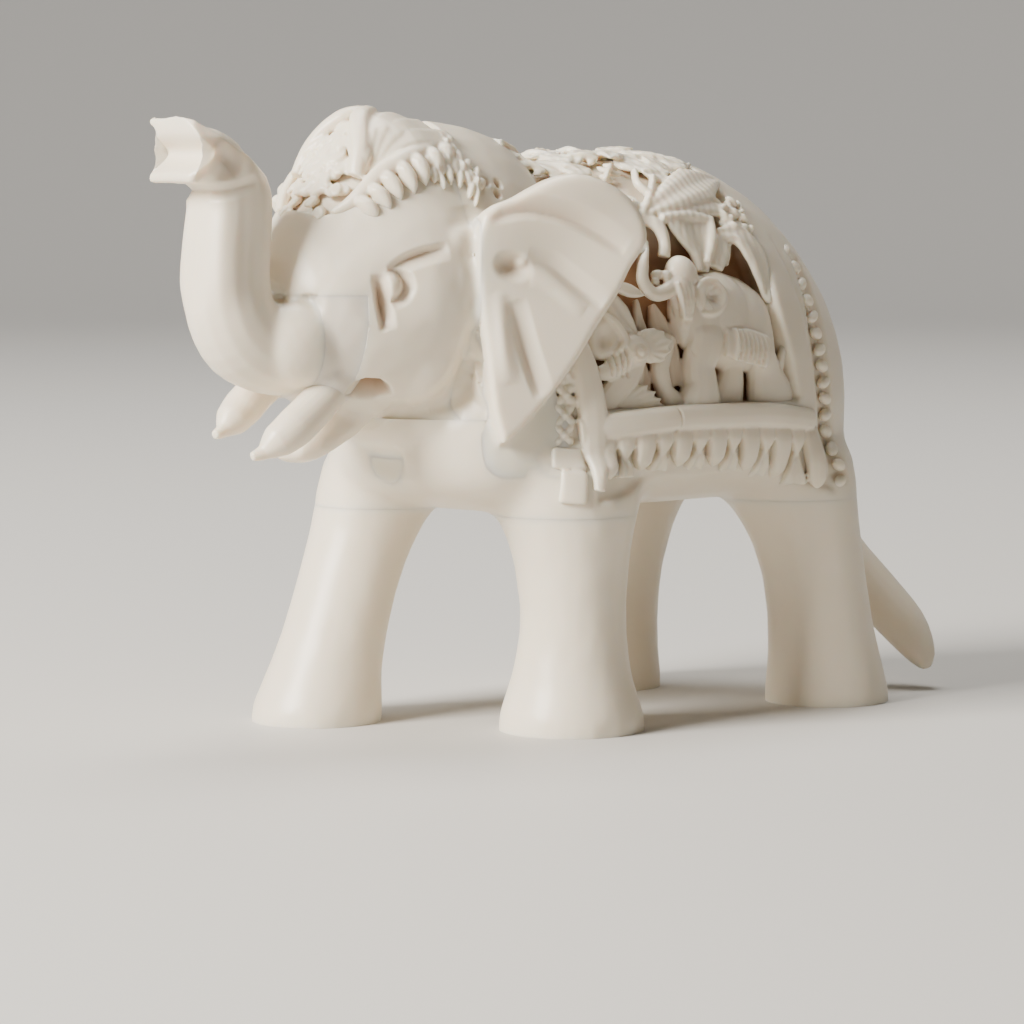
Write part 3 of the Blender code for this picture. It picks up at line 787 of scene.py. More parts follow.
def back_ray(forward, turned):
    """Rays towards the long axis, from the left over the back to the right."""
    angle = turned / ROUND
    out = Vector((0.0, math.cos(angle), math.sin(angle)))
    return Vector((forward, 0.0, AXIS_UP)) + out * OUTSIDE, -out


MAP_SPACING = 0.5        # mm between two rays
FLANK_LENGTH, FLANK_HEIGHT = (-24.0, 19.0), (21.9, 50.0)
flank_maps = {side: surface_map(body_tree, FLANK_LENGTH, FLANK_HEIGHT, MAP_SPACING, flank_ray(side))
              for side in (1, -1)}
print("surface maps of both flanks")


def relief(clay, grain, cuts, wrap, soft=2):
    """Melts flat clay, cuts lines into its upper side, and wraps it. Also returns how deep each place is."""
    bmesh.ops.recalc_face_normals(clay, faces=clay.faces)
    mesh = melted(clay, grain, soft)
    points, normals = corners(mesh), facings(mesh)
    if cuts is not None:
        points[:, 2] -= eased(normals[:, 2], 0.1, 0.5) * cuts(points)
    low = points[:, 2].copy()
    put(mesh, wrap(points))
    bm = bmesh.new()
    bm.from_mesh(mesh)
    if bm.calc_volume(signed=True) < 0.0:
        mesh.flip_normals()         # the map turned the relief into its mirror image
    bm.free()
    return mesh, low

# %% [markdown]
# ## The jungle scene
# A saddled elephant walks to the front with its trunk raised to a leaf. Another one, of which the head
# and one striding leg are seen, comes through the leaves in front of it. Both stand on the lower bar of the
# saddle cloth. Everything is undercut, so limbs and leaves stay free of the sunk field between their ends.

# %% The large elephant of the scene
def large_elephant(bm):
    """Body, legs, tail, saddle cloth, ear, head and raised trunk."""
    for centre, radii in (((-2.4, 41.9, -2.1), (3.9, 4.6, 2.2)), ((-5.2, 42.0, -2.2), (4.6, 4.8, 2.5)),
                          ((-8.4, 40.6, -2.3), (4.1, 5.0, 2.4)),
                          ((-6.0, 41.2, -2.2), (6.3, 5.3, 2.25)), ((-6.4, 39.2, -2.0), (4.6, 3.0, 2.0))):
        pebble(bm, centre, radii, detail=3)
    ridge(bm, [(-2.2, 42.0, -1.5), (-2.1, 39.5, -1.3), (-1.0, 36.6, -1.5), (-1.1, 34.9, -1.5),
               (-0.9, 32.9, -1.5)],
          [4.4, 4.6, 3.7, 3.9, 5.4], [2.6, 2.8, 2.6, 2.8, 3.0], square=2.6, blunt=True)
    ridge(bm, [(2.6, 39.5, -2.4), (3.7, 36.6, -2.2), (3.2, 34.3, -2.2), (2.3, 32.9, -2.1)],
          [2.6, 2.2, 1.9, 3.0], 2.0, blunt=True)
    ridge(bm, [(-9.9, 40.5, -1.8), (-9.9, 37.4, -1.5), (-10.5, 35.4, -1.6), (-11.3, 32.9, -1.6)],
          [4.6, 3.5, 4.6, 7.0], [2.6, 2.8, 2.4, 2.2], square=2.6, blunt=True)
    ridge(bm, [(-6.0, 38.5, -2.6), (-6.2, 35.6, -2.3), (-5.4, 32.9, -2.3)], [3.8, 3.1, 4.6], 2.2,
          square=2.4, blunt=True)
    ridge(bm, [(-12.0, 42.8, -1.6), (-13.3, 41.3, -1.3), (-13.9, 39.3, -1.1), (-12.9, 37.4, -1.1),
               (-12.4, 35.3, -1.3)], [1.0, 0.9, 0.8, 0.9, 1.1], [1.0, 0.9, 0.9, 0.9, 1.0])
    ridge(bm, [(-4.3, 38.7, -0.1), (-6.6, 38.3, 0.15), (-9.1, 37.7, -0.05)], [3.0, 3.5, 3.4], 0.9, square=3.4,
          blunt=True)
    for i in range(7):
        t = i / 6.0
        top = (-5.1 - 3.9 * t, 40.1 - 0.9 * t, 0.15)
        foot = (-4.5 - 3.9 * t, 36.9 - 0.8 * t, 0.4 - 0.2 * abs(t - 0.5))
        middle = ((top[0] + foot[0]) / 2 - 0.1, (top[1] + foot[1]) / 2, 0.55)
        ridge(bm, [top, middle, foot], [0.35, 0.5, 0.45], 0.8)
    pebble(bm, (-2.5, 43.3, -0.2), (2.15, 1.95, 0.75), 20.0, detail=3)
    ridge(bm, [(-0.8, 44.2, 0.0), (-2.0, 44.95, 0.1), (-3.4, 44.9, 0.1), (-4.4, 43.8, 0.05),
               (-4.0, 42.7, 0.1), (-2.6, 41.8, 0.1), (-1.1, 41.8, -0.1)],
          [0.5, 0.7, 0.8, 0.8, 0.8, 0.7, 0.5], 0.7)
    pebble(bm, (-0.1, 46.0, -0.9), (1.85, 1.9, 1.5), detail=3)
    pebble(bm, (0.6, 44.8, -0.9), (1.5, 1.5, 1.3), detail=3)
    ridge(bm, [(0.6, 45.0, -1.2), (0.6, 43.0, -1.2), (0.7, 40.8, -1.6)], [3.0, 2.5, 0.8], 1.6)
    for i in range(4):
        ridge(bm, [(1.6 - 0.62 * i, 44.9, -0.1), (1.55 - 0.5 * i, 43.2, 0.0), (1.2 - 0.3 * i, 41.3, -0.5)],
              [0.55, 0.5, 0.15], 0.9)
    ridge(bm, [(1.4, 45.0, -0.9), (2.9, 44.2, -0.7), (4.5, 44.1, -0.7), (5.3, 45.4, -0.7), (4.8, 46.9, -0.6),
               (3.8, 48.6, -0.5)], [1.9, 1.6, 1.5, 1.4, 1.2, 0.5], [1.6, 1.4, 1.3, 1.3, 1.1, 0.6])
    for centre, radii in (((3.0, 46.1, -1.0), (0.85, 0.5, 0.6)), ((2.2, 45.9, -0.7), (0.6, 0.55, 0.6)),
                          ((3.6, 45.4, -0.9), (0.5, 0.4, 0.5)), ((-1.1, 45.3, 0.0), (0.35, 0.35, 0.35))):
        pebble(bm, centre, radii)


# %% The small elephant, rocks and leaves in front of it
def small_elephant(bm):
    """Head with a round eye, scalloped ear, ringed trunk, striding leg, leaves and bark."""
    pebble(bm, (7.7, 38.5, -1.2), (1.8, 1.7, 1.4), detail=3)
    pebble(bm, (8.6, 39.2, -1.3), (1.3, 1.1, 1.0), 30.0)
    pebble(bm, (7.7, 38.2, 0.1), (0.42, 0.42, 0.42), detail=3)
    for angle in range(0, 360, 30):
        a = math.radians(angle)
        pebble(bm, (7.7 + 0.75 * math.cos(a), 38.2 + 0.75 * math.sin(a), 0.05), (0.28, 0.28, 0.28), detail=1)
    fan(bm, (6.9, 38.6, -0.9), [(6.1, 40.6, -0.6), (5.2, 40.6, -0.4), (4.1, 40.2, -0.3), (3.2, 39.3, -0.3),
                                (3.4, 38.2, -0.4), (4.1, 37.3, -0.6), (5.3, 37.1, -0.8)], 1.5, 1.0, 0.18)
    ridge(bm, [(8.2, 38.0, -1.2), (9.6, 37.2, -1.0), (11.0, 36.4, -0.9), (12.2, 36.2, -0.9)],
          [2.6, 2.5, 2.0, 1.4], [1.8, 1.8, 1.5, 1.0])
    ridge(bm, [(7.6, 37.6, -1.9), (8.6, 35.8, -1.7), (10.2, 34.2, -1.7), (11.7, 32.8, -1.7)],
          [3.4, 3.2, 2.8, 3.0], 1.9, square=3.0, blunt=True)
    ridge(bm, [(6.6, 37.4, -2.6), (6.9, 35.4, -2.5), (8.3, 33.0, -2.4)], [2.4, 2.2, 2.6], 1.6, blunt=True)
    fan(bm, (9.6, 32.7, -1.6), [(6.3, 34.9, -0.9), (5.4, 34.2, -0.8), (4.7, 33.4, -0.8), (4.2, 32.7, -0.9)],
        1.3, 1.2, 0.2)
    leaf(bm, (9.9, 44.9, -1.2), (6.9, 40.0, -1.0), 2.5, 1.2, 0.35, bend=0.06)
    leaf(bm, (10.6, 44.2, -1.7), (8.9, 39.6, -1.5), 2.0, 1.2, 0.1)
    leaf(bm, (8.9, 45.1, -0.9), (5.6, 43.9, -0.6), 1.5, 1.1, 0.1)
    pebble(bm, (10.9, 39.9, -1.5), (2.0, 2.5, 1.1), 25.0, detail=3)
    ridge(bm, [(10.9, 42.3, -0.8), (9.5, 40.9, -0.5), (9.0, 39.4, -0.5), (10.2, 38.1, -0.7)],
          [0.6, 0.9, 0.9, 0.6], 0.9)
    for path, width in ((((5.6, 44.0, -2.4), (5.7, 41.0, -2.3), (5.0, 39.2, -2.3)), 1.6),
                        (((3.3, 43.4, -2.7), (3.0, 41.5, -2.6), (2.4, 39.0, -2.6)), 2.6),
                        (((1.4, 41.4, -2.6), (1.6, 38.0, -2.6), (1.3, 34.6, -2.7)), 2.0),
                        (((5.6, 37.6, -2.8), (5.4, 35.5, -2.8), (5.4, 33.2, -2.8)), 1.6),
                        (((12.7, 38.6, -2.2), (12.9, 36.0, -2.2), (12.7, 33.0, -2.2)), 1.3)):
        ridge(bm, path, [0.2 * width, width, 0.9 * width], 1.3, crease=0.2)


def scene_cuts(points):
    """Fine lines cut into the scene after it is melted."""
    flat = points[:, :2]
    cuts = 0.75 * bump(flat, (-2.7, 43.4), (1.5, 1.3))
    for angle in (150, 185, 220, 255, 290):
        a = math.radians(angle)
        cuts += groove(flat, [(-1.9, 43.7), (-1.9 + 1.9 * math.cos(a), 43.7 + 1.6 * math.sin(a))], 0.2, 0.14,
                       blunt=0.5)
    for i in range(4):
        t = i / 3.0
        cuts += groove(flat, [(9.1 + 1.9 * t, 38.6 - 0.9 * t), (8.8 + 2.0 * t, 35.9 + 0.1 * t)], 0.26, 0.4,
                       blunt=0.6)
    cuts += 0.9 * bump(flat, (11.1, 39.8), (1.3, 1.9), 25.0)
    cuts += groove(flat, [(0.1, 41.2), (0.4, 39.0), (0.2, 37.5)], 0.3, 0.3)
    return cuts


SCENE_GRAIN = 0.14
for word, side in SIDES:
    clay = bmesh.new()
    large_elephant(clay)
    small_elephant(clay)
    mesh, low = relief(clay, SCENE_GRAIN, scene_cuts, flank_maps[side])
    # Painted shade: the scene is coloured darker the deeper it lies in the sunk field.
    piece(mesh, word + "_jungle_scene", "white_bone", "torso", painted_recess_shade=0.9 * eased(-low, 1.3, 3.4))

# %% [markdown]
# ## The saddle cloth
# Smooth bars frame the scene. Under the lower bar hangs a fringe of long petals with a folded leaf between
# each pair. The front border has small flowers over two plain blocks, and the rear one a row of beads.

# %% Bars, fringe and borders
def cloth(bm):
    """All of the cloth on one flank."""
    ridge(bm, [(14.0, 30.5, -0.5), (10.5, 31.0, -0.35), (3.6, 31.45, -0.25), (-3.0, 31.4, -0.25),
               (-9.5, 31.2, -0.25), (-15.8, 30.4, -0.5)], [3.0, 2.7, 2.5, 2.5, 2.5, 2.4], 2.4, square=3.2,
          blunt=True)
    ridge(bm, [(14.7, 41.5, -0.6), (14.2, 38.5, -0.45), (13.6, 35.0, -0.4), (13.2, 31.5, -0.4),
               (13.2, 28.5, -0.35), (13.9, 24.6, -0.5)], [1.6, 2.3, 2.8, 3.1, 2.6, 1.2], 2.4, square=3.2)
    petals = 13
    for i in range(petals):
        t = i / (petals - 1.0)
        forward = 11.9 - 28.0 * t
        arch = math.sin(math.pi * min(1.0, 0.1 + 0.9 * t))
        top = 29.5 + 1.1 * arch - 0.2 * t
        foot = 25.3 + 1.5 * arch - 2.0 * t * t
        lean = 0.5 - 1.1 * t
        if i % 2 == 0:
            ridge(bm, [(forward, top, -0.4), (forward + 0.3 * lean, top - 1.3, -0.05),
                       (forward + 0.8 * lean, foot + 1.0, -0.05), (forward + lean, foot, -0.35)],
                  [2.4, 2.4, 2.0, 0.2], [1.5, 1.6, 1.5, 0.9], square=3.4)
        else:
            point = top - 2.7
            ridge(bm, [(forward, top, -0.4), (forward + 0.4 * lean, (top + point) / 2, -0.1),
                       (forward + 0.8 * lean, point, -0.35)], [2.5, 2.0, 0.25], [1.5, 1.5, 1.0], square=3.4)
            ridge(bm, [(forward + 0.8 * lean, point + 0.6, -0.5), (forward + 0.9 * lean, foot + 0.8, -0.15),
                       (forward + lean, foot - 0.3, -0.25)], [0.4, 2.0, 2.7], [1.2, 1.4, 1.2], crease=0.4,
                  square=2.8)
    for forward, up in ((15.7, 36.2), (16.0, 34.2), (16.2, 32.2), (16.3, 30.2)):
        pebble(bm, (forward, up, -0.15), (0.45, 0.45, 0.5))
        for k in range(4):
            a = math.radians(45.0 + 90.0 * k)
            pebble(bm, (forward + 0.75 * math.cos(a), up + 0.8 * math.sin(a), -0.3), (0.72, 0.5, 0.5),
                   45.0 + 90.0 * k)
    for centre, size in (((16.2, 27.8, -0.45), (3.1, 2.1, 1.9)), ((16.2, 25.0, -0.4), (2.3, 3.2, 1.9))):
        block(bm, centre, size, 6.0)
    beads = 15
    for i in range(beads):
        t = i / (beads - 1.0)
        up = 23.8 + 24.0 * t
        forward = -20.1 + 2.6 * t ** 1.4
        pebble(bm, (forward, up, -0.25), (1.0, 0.66, 0.6), 25.0 if i % 2 else -20.0)


def block(bm, centre, size, turn=0.0):
    """A small block with rounded edges."""
    made = bmesh.ops.create_cube(bm, size=1.0, matrix=Matrix.Translation(centre)
                                 @ Matrix.Rotation(math.radians(turn), 4, "Z")
                                 @ Matrix.Diagonal((*size, 1.0)))["verts"]
    edges = {edge for corner in made for edge in corner.link_edges}
    bmesh.ops.bevel(bm, geom=list(edges), offset=0.3, segments=3, profile=0.5, affect="EDGES", material=-1)


def cloth_cuts(points):
    """The crack in the lower bar."""
    return groove(points[:, :2], [(3.9, 32.8), (3.5, 31.8), (3.4, 30.8), (3.6, 30.1)], 0.13, 0.3, blunt=0.8)


CLOTH_GRAIN = 0.15
for word, side in SIDES:
    clay = bmesh.new()
    cloth(clay)
    mesh, low = relief(clay, CLOTH_GRAIN, cloth_cuts, flank_maps[side])
    # Painted shade: the cloth is coloured darker the deeper it lies.
    piece(mesh, word + "_saddle_cloth", "white_bone", "torso", painted_recess_shade=0.6 * eased(-low, 0.7, 1.9))

# %% [markdown]
# ## Leaves over the back
# Above the scene the whole back is a thicket. A few large leaves on each side are cut free; behind them
# small leaves, fronds and stems cover the back up to the crest, where they break the outline.

# %% Large leaves on one side of the back
def over(forward, degrees, height):
    """A flat place on the wrapped back: 0 degrees is level on the side and 90 on top."""
    return (forward, degrees * DEGREE, height)


def large_leaves(bm):
    """The leaves over the scene, from the front to the smooth band behind."""
    ridge(bm, [over(2.8, 49, -0.6), over(-2.0, 54, 0.1), over(-7.0, 60, 0.2), over(-12.6, 68, -0.2)],
          [0.8, 3.4, 4.8, 1.2], [1.2, 1.5, 1.3, 0.8], crease=0.35)
    ridge(bm, [over(2.6, 50, -0.8), over(-2.5, 50.5, -0.2), over(-6.5, 51, -0.2), over(-10.2, 48.5, -0.3)],
          [0.8, 2.0, 2.2, 1.0], [1.2, 1.2, 1.2, 1.0], crease=0.15)
    ridge(bm, [over(-3.7, 29.5, -1.4), over(-3.9, 35, -1.1), over(-3.6, 41, -0.7), over(-3.2, 46.5, -0.3)],
          [1.6, 3.2, 5.4, 6.8], [1.3, 1.3, 1.2, 1.0], crease=0.3, square=2.6, blunt=True)
    ridge(bm, [over(-6.1, 46.6, -0.1), over(-5.4, 39, -0.3), over(-4.1, 31, -0.9)], [1.0, 1.2, 0.8], 1.1)
    ridge(bm, [over(0.6, 46.6, -0.1), over(-3.0, 47.2, 0.0), over(-6.3, 45.6, -0.1)], [0.9, 1.0, 0.9], 0.9)
    ridge(bm, [over(-5.4, 29, -1.0), over(-6.4, 35, -0.6), over(-7.3, 42.5, -0.4)], [1.6, 2.3, 0.7], 1.2,
          crease=0.2)
    ridge(bm, [over(1.3, 34, -1.2), over(0.9, 39, -0.8), over(1.1, 44.5, -0.5), over(2.2, 48, -0.8)],
          [1.5, 1.3, 1.7, 1.2], 1.3)
    ridge(bm, [over(-6.6, 41, -0.3), over(-9.2, 40, 0.0), over(-10.7, 34, -0.1), over(-11.3, 27, -0.4),
               over(-11.6, 17, -1.0)], [1.2, 3.0, 3.4, 2.6, 0.4], [1.2, 1.4, 1.3, 1.2, 0.8], crease=0.3)
    edge = smooth_line([(-8.6, 43.5), (-11.2, 41.5), (-12.4, 36), (-12.6, 30), (-12.3, 24), (-11.9, 18)], 3)
    for n, (forward, degrees) in enumerate(edge):
        pebble(bm, over(forward, degrees, -0.25 - 0.04 * n), (0.75, 0.42, 0.5), 20.0 + 5.0 * n)
    dice = random.Random(11)
    for _ in range(26):
        forward, degrees = dice.uniform(-12.0, -7.8), dice.uniform(42.5, 54.0)
        pebble(bm, over(forward, degrees, dice.uniform(-0.5, 0.2)),
               (dice.uniform(0.45, 0.85), dice.uniform(0.3, 0.5), dice.uniform(0.4, 0.6)),
               dice.uniform(0.0, 180.0))
    for path in ([over(2.6, 49, -0.5), over(0.4, 56, 0.0), over(-1.6, 63, 0.1)],
                 [over(0.4, 56, -0.1), over(1.0, 61, 0.0), over(0.2, 66, 0.1)],
                 [over(-7.4, 31, -1.6), over(-8.2, 37, -1.2), over(-8.0, 42, -0.8)],
                 [over(4.5, 30, -1.6), over(3.6, 40, -1.2), over(2.4, 49, -0.8)]):
        ridge(bm, path, [0.9, 0.8, 0.7], 1.0)


# %% Small leaves up to the crest
def frond(bm, forward, degrees, heading, length, height, width):
    """A rib with pairs of pointed leaflets."""
    c, s = math.cos(math.radians(heading)), math.sin(math.radians(heading))
    base = np.array(over(forward, degrees, height))
    tip = base + np.array((c * length, s * length, 0.15))
    ridge(bm, [base, (base + tip) / 2 + np.array((0, 0, 0.25)), tip], [0.5, 0.55, 0.2], 0.9)
    pairs = max(3, int(length / 0.95))
    for n in range(pairs):
        at = base + (tip - base) * (0.12 + 0.78 * n / (pairs - 1))
        size = width * (0.75 + 0.5 * math.sin(math.pi * n / (pairs - 1)))
        for way in (1, -1):
            a = math.radians(heading + way * 52.0)
            end = at + np.array((math.cos(a) * size, math.sin(a) * size, -0.3))
            leaf(bm, at, end, 0.85, 0.8, 0.12)


def small_leaves(bm, dice, low, high):
    """A thicket of single leaves and fronds between two angles round the back."""
    rows = 8
    for row in range(rows):
        for place in range(11):
            t = (row + dice.uniform(0.1, 0.9)) / rows
            degrees = low + (high - low) * t
            forward = -9.6 + 1.95 * place + dice.uniform(-0.6, 0.6)
            if degrees < 66 and forward < 3.2:
                continue
            heading = dice.uniform(0.0, 360.0)
            height = dice.uniform(-0.55, 0.0)
            if dice.random() < 0.25:
                frond(bm, forward, degrees, heading, dice.uniform(2.6, 3.8), height, 1.4)
            else:
                c, s = math.cos(math.radians(heading)), math.sin(math.radians(heading))
                length = dice.uniform(2.6, 4.0)
                start = over(forward, degrees, height - 0.4)
                end = (start[0] + c * length, start[1] + s * length, height + 0.25)
                leaf(bm, start, end, dice.uniform(2.0, 3.0), 1.0, 0.3, bend=dice.uniform(-0.15, 0.15),
                     belly=1.0)


back_map = surface_map(body_tree, (-17.0, 18.0), (2.0 * DEGREE, 178.0 * DEGREE), 0.6, back_ray)


def mirrored_back(flat):
    """The same flat place on the other side of the back."""
    return back_map(flat * np.array((1.0, -1.0, 1.0)) + np.array((0.0, 180.0 * DEGREE, 0.0)))


def thicket_cuts(points):
    """Veins: fine lines that run across the leaves."""
    return 0.02 * (1.0 + np.sin(points[:, 0] * 6.5 + 2.2 * np.sin(points[:, 1] * 0.9)))


LEAF_GRAIN = 0.17
for word, side in SIDES:
    clay = bmesh.new()
    large_leaves(clay)
    small_leaves(clay, random.Random(5 + side), 34.0, 93.0)
    wrap = back_map if side > 0 else mirrored_back
    mesh, low = relief(clay, LEAF_GRAIN, thicket_cuts, wrap)
    # Painted shade: the leaves are coloured darker the deeper they lie.
    piece(mesh, word + "_back_leaves", "white_bone", "torso", painted_recess_shade=0.75 * eased(-low, 1.0, 2.6))

# %% [markdown]
# ## The ornament on the head
# On each side of the crown a shell of broad rays opens from the forehead. A rounded bar lies in front of it,
# and small leaves fill the forehead. A band with curled petals edges it all, with flowers at the upper end.

# %% Crown and forehead
def crown_ray(turned, left):
    """Rays towards the middle of the head, from the forehead over the crown. They start behind the trunk."""
    angle = turned / CROWN_ROUND
    out = Vector((math.cos(angle), 0.0, math.sin(angle)))
    reach = 15.0 + 0.05 * max(0.0, math.degrees(angle) - 35.0)
    return Vector((CROWN_FORWARD, left, CROWN_UP)) + out * reach, -out


CROWN_DEGREE = math.radians(1.0) * CROWN_ROUND
crown_map = surface_map(head_tree, (30.0 * CROWN_DEGREE, 140.0 * CROWN_DEGREE), (-11.5, 11.5), MAP_SPACING,
                        crown_ray)


def on_crown(degrees, left, height):
    """A flat place on the crown: 0 degrees looks forward and 90 up."""
    return np.array((degrees * CROWN_DEGREE, left, height))


def half_ornament(bm, side, dice):
    """Shell, bar, small leaves, band, petals and flowers on one side."""
    for n in range(6):
        t = n / 5.0
        rim = on_crown(72.0 + 40.0 * t, (3.2 - 2.6 * math.sin(math.pi * t) + 1.6 * t) * side, 0.05)
        root = on_crown(61.0 + 9.0 * t, (5.0 + 0.6 * t) * side, -0.6)
        ridge(bm, [root, (root + rim) / 2 + np.array((0, 0, 0.55)), rim], [0.8, 2.2, 3.0], [1.0, 1.5, 1.2],
              crease=0.12, blunt=True)
    ridge(bm, [on_crown(88, 0.2 * side, 0.1), on_crown(80, 1.3 * side, 0.45), on_crown(70, 3.6 * side, 0.4),
               on_crown(58, 4.7 * side, 0.0)], [1.7, 2.0, 1.9, 1.5], [1.7, 1.8, 1.6, 1.2])
    for n in range(46):
        degrees = dice.uniform(35.0, 77.0)
        left = dice.uniform(-0.3, min(4.4, 0.14 * (degrees - 30.0) + 2.2 if degrees < 55 else 4.4 - 0.16
                                      * (degrees - 55.0)))
        a = math.radians(dice.uniform(-60.0, 60.0) + (180.0 if n % 3 else 0.0))
        start = on_crown(degrees, left * side, dice.uniform(-0.9, -0.4))
        end = start + np.array((math.cos(a) * 1.9, math.sin(a) * 1.9, 0.55))
        leaf(bm, start, end, 1.3, 1.0, 0.15, belly=1.0)
    band = [on_crown(36, 4.4 * side, -0.4), on_crown(44, 5.4 * side, -0.1), on_crown(54, 6.0 * side, 0.1),
            on_crown(66, 6.3 * side, 0.15), on_crown(78, 6.6 * side, 0.15), on_crown(92, 6.4 * side, 0.15),
            on_crown(103, 5.7 * side, 0.1), on_crown(113, 4.6 * side, -0.2)]
    ridge(bm, band, [0.9, 1.2, 1.3, 1.3, 1.3, 1.2, 1.1, 0.9], 1.3)
    line = smooth_line(band, 6)
    step = 0.0
    for n in range(4, len(line) - 3):
        step += np.linalg.norm(line[n] - line[n - 1])
        if step < 2.2:
            continue
        step = 0.0
        run = line[n + 1] - line[n - 1]
        run /= np.linalg.norm(run)
        away = np.array((-run[1], run[0], 0.0))
        if away[1] * side < 0.0:
            away = -away
        root = line[n] + away * 0.3 + np.array((0, 0, -0.35))
        middle = root + away * 0.8 - run * 0.1 + np.array((0, 0, 0.6))
        ridge(bm, [root, middle, root + away * 1.5 - run * 0.9], [1.6, 2.3, 1.5], [1.2, 1.7, 1.1])
        pebble(bm, root + away * 1.3 + run * 0.45 + np.array((0, 0, 0.25)), (0.5, 0.42, 0.45))
    for degrees, left, size in ((97, 7.9, 1.0), (106, 7.3, 1.2), (114, 7.9, 1.15), (121, 9.1, 1.0),
                                (110, 5.4, 1.0)):
        centre = on_crown(degrees, left * side, 0.1)
        pebble(bm, centre + np.array((0, 0, 0.3)), (0.4 * size, 0.4 * size, 0.5))
        for k in range(5):
            a = math.radians(72.0 * k + 3.0 * degrees)
            pebble(bm, centre + np.array((0.85 * math.cos(a), 0.85 * math.sin(a), 0.0)) * size,
                   (0.75 * size, 0.5 * size, 0.6), 72.0 * k + 3.0 * degrees)


ORNAMENT_GRAIN = 0.14
clay = bmesh.new()
for side in (1, -1):
    half_ornament(clay, side, random.Random(3))
mesh, low = relief(clay, ORNAMENT_GRAIN, None, crown_map)
# Painted shade: the ornament is coloured darker the deeper it lies.
piece(mesh, "crown_ornament", "white_bone", "face", painted_recess_shade=0.35 * eased(-low, 0.3, 1.0))

# %% [markdown]
# ## Tusks and tail
# These are small whittled pieces. The tail is a melted copy of its CAD node. Each tusk is one round ridge
# that hangs from the mouth corner and thins towards its tip.

# %% Small fitted pieces
TAIL_GRAIN, TUSK_GRAIN = 0.20, 0.15
TUSK_WIDTHS = [3.0, 3.9, 4.0, 3.4, 1.5, 0.9]
piece(fused(clay_from("tail", swell=SWELL / 2), TAIL_GRAIN, soft=12), "tail_carved", "white_bone", "tail")
TUSK_PATHS = {
    "left_tusk": [(34.6, 4.2, 36.8), (38.2, 4.6, 34.2), (41.6, 4.6, 31.6), (43.5, 4.1, 30.2),
                  (44.9, 3.7, 29.2), (46.1, 3.4, 28.8)],
    "right_tusk": [(34.6, -4.2, 37.2), (38.2, -4.6, 35.2), (41.0, -4.6, 33.0), (42.8, -4.1, 31.8),
                   (44.2, -3.7, 30.9), (45.4, -3.4, 30.5)],
}
for name, path in TUSK_PATHS.items():
    clay = bmesh.new()
    ridge(clay, path, TUSK_WIDTHS, TUSK_WIDTHS, around=20, steps=6)
    bmesh.ops.recalc_face_normals(clay, faces=clay.faces)
    piece(fused(clay, TUSK_GRAIN, soft=4), name + "_carved", "white_bone", name)

# %% [markdown]
# ## Finish: waxed camel bone
# Bone is a warm white, slightly translucent and close-grained. Sanding and wax give it a soft satin gloss.
# The deep cuts are painted brown where shade falls in them, as much as an attribute on their corners gives.

# %% Colours and nodes
def colour(code):
    """An sRGB hex value as a linear colour."""
    values = [int(code[i:i + 2], 16) / 255.0 for i in (1, 3, 5)]
    return (*(v / 12.92 if v <= 0.04045 else ((v + 0.055) / 1.055) ** 2.4 for v in values), 1.0)


def add_node(tree, kind, settings=None, **links):
    """A node with its settings, and its inputs set to values or linked to other sockets."""
    node = tree.nodes.new(kind)
    for key, value in (settings or {}).items():
        setattr(node, key, value)
    for key, value in links.items():
        socket = node.inputs[int(key[1:])] if key[0] == "i" and key[1:].isdigit() else node.inputs[key]
        if isinstance(value, bpy.types.NodeSocket):
            tree.links.new(value, socket)
        else:
            socket.default_value = value
    return node


def bone(name, light, shade, painted_recess_shade, roughness=0.38):
    """Waxed bone: a light and a shaded tone in soft clouds, painted brown shade in the cuts, and fine pores.
    """
    material = bpy.data.materials.new(name)
    material.use_nodes = True
    tree = material.node_tree
    tree.nodes.clear()
    place = add_node(tree, "ShaderNodeTexCoord").outputs["Object"]
    clouds = add_node(tree, "ShaderNodeTexNoise", Vector=place, Scale=1000.0 / CLOUD_SIZE, Detail=3.0)
    mixed = add_node(tree, "ShaderNodeMix", {"data_type": "RGBA"}, i0=clouds.outputs["Fac"],
                     i6=colour(light), i7=colour(shade))
    # Painted shade: the attribute on the corners mixes the base colour towards a brown where the cuts are
    # deep.
    deep = add_node(tree, "ShaderNodeAttribute", {"attribute_name": "painted_shade"})
    painted_shade_mix = add_node(tree, "ShaderNodeMix", {"data_type": "RGBA"}, i0=deep.outputs["Fac"],
                       i6=mixed.outputs[2], i7=colour(painted_recess_shade))
    pores = add_node(tree, "ShaderNodeTexNoise", Vector=place, Scale=1000.0 / PORE_SIZE, Detail=2.0)
    relief = add_node(tree, "ShaderNodeBump", Strength=0.12, Distance=PORE_DEPTH * MM,
                      Height=pores.outputs["Fac"])
    shader = add_node(tree, "ShaderNodeBsdfPrincipled")
    tree.links.new(painted_shade_mix.outputs[2], shader.inputs["Base Color"])
    tree.links.new(relief.outputs["Normal"], shader.inputs["Normal"])
    shader.inputs["Roughness"].default_value = roughness
    shader.inputs["IOR"].default_value = 1.54
    shader.inputs["Subsurface Weight"].default_value = 0.45
    shader.inputs["Subsurface Radius"].default_value = (1.0, 0.7, 0.45)
    shader.inputs["Subsurface Scale"].default_value = 0.0014
    out = add_node(tree, "ShaderNodeOutputMaterial")
    tree.links.new(shader.outputs["BSDF"], out.inputs["Surface"])
    return material


CLOUD_SIZE = 9.0         # mm between light and shaded clouds
PORE_SIZE = 0.25         # mm; the real pores are half that, too fine to show
PORE_DEPTH = 0.05
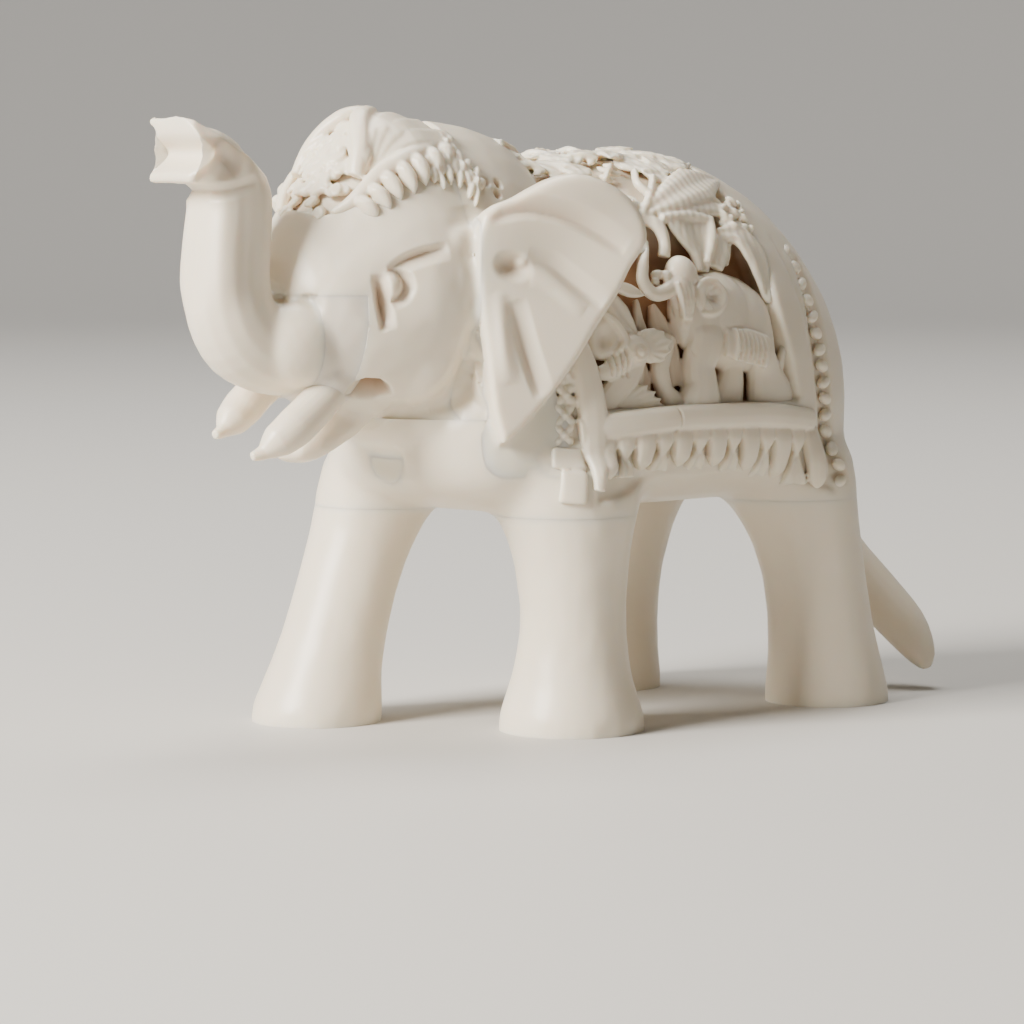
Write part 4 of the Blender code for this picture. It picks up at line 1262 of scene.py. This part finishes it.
# The last colour of each finish is the painted shade of its cuts.
finishes = {
    "white_bone": bone("waxed_camel_bone", "#EDE3D1", "#E2D6C1", "#AD8460"),
    "grey_bone": bone("greyer_camel_bone", "#E5DBCC", "#DACFBF", "#AD8460"),
    "filler": bone("bone_dust_filler", "#ECE3D1", "#E2D7C4", "#B08A66", 0.42),
}
for item in parts.values():
    item.data.materials.clear()
    item.data.materials.append(finishes[item["slot"]])
for name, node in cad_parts.items():
    for slot in node.material_slots:
        slot.material = finishes["white_bone"]
print(len(finishes), "finishes")

# %% [markdown]
# ## Studio
# A plain pale sweep, a soft key light from the left and a top light. A third light falls on the sweep only.

# %% Floor and lights
floor_bm = bmesh.new()
bmesh.ops.create_grid(floor_bm, x_segments=80, y_segments=80, size=2.0)
for corner in floor_bm.verts:
    away = max(0.0, math.hypot(corner.co.x, corner.co.y) - 0.9)
    corner.co.z = 0.9 * away ** 2
for face in floor_bm.faces:
    face.smooth = True
floor = new_object("table_top", mesh_from(floor_bm))
table = bpy.data.materials.new("pale_table")
table.use_nodes = True
table.node_tree.nodes["Principled BSDF"].inputs["Base Color"].default_value = colour("#C9C6C1")
table.node_tree.nodes["Principled BSDF"].inputs["Roughness"].default_value = 0.6
floor.data.materials.append(table)


def soft_light(name, place, target, size, power, tint):
    """A square area light that faces a target."""
    data = bpy.data.lights.new(name, "AREA")
    data.shape = "SQUARE"
    data.size = size
    data.energy = power
    data.color = colour(tint)[:3]
    light = bpy.data.objects.new(name, data)
    bpy.context.collection.objects.link(light)
    light.location = place
    light.rotation_euler = (Vector(target) - Vector(place)).to_track_quat("-Z", "Y").to_euler()
    return light


MIDDLE = (0.0, 0.0, 0.03)
soft_light("key", (-0.55, 0.06, 0.34), MIDDLE, 0.26, 12.5, "#FFFAF2")
soft_light("top", (0.10, 0.14, 0.65), MIDDLE, 0.30, 3.2, "#FFFDF8")
soft_light("backdrop", (0.15, 0.25, 0.80), (0.90, 1.05, 0.35), 0.60, 7.0, "#FFFFFF")
world = bpy.data.worlds.new("studio")
world.use_nodes = True
world.node_tree.nodes["Background"].inputs["Color"].default_value = colour("#D8D8DA")
world.node_tree.nodes["Background"].inputs["Strength"].default_value = 0.10
bpy.context.scene.world = world
print("studio is set")
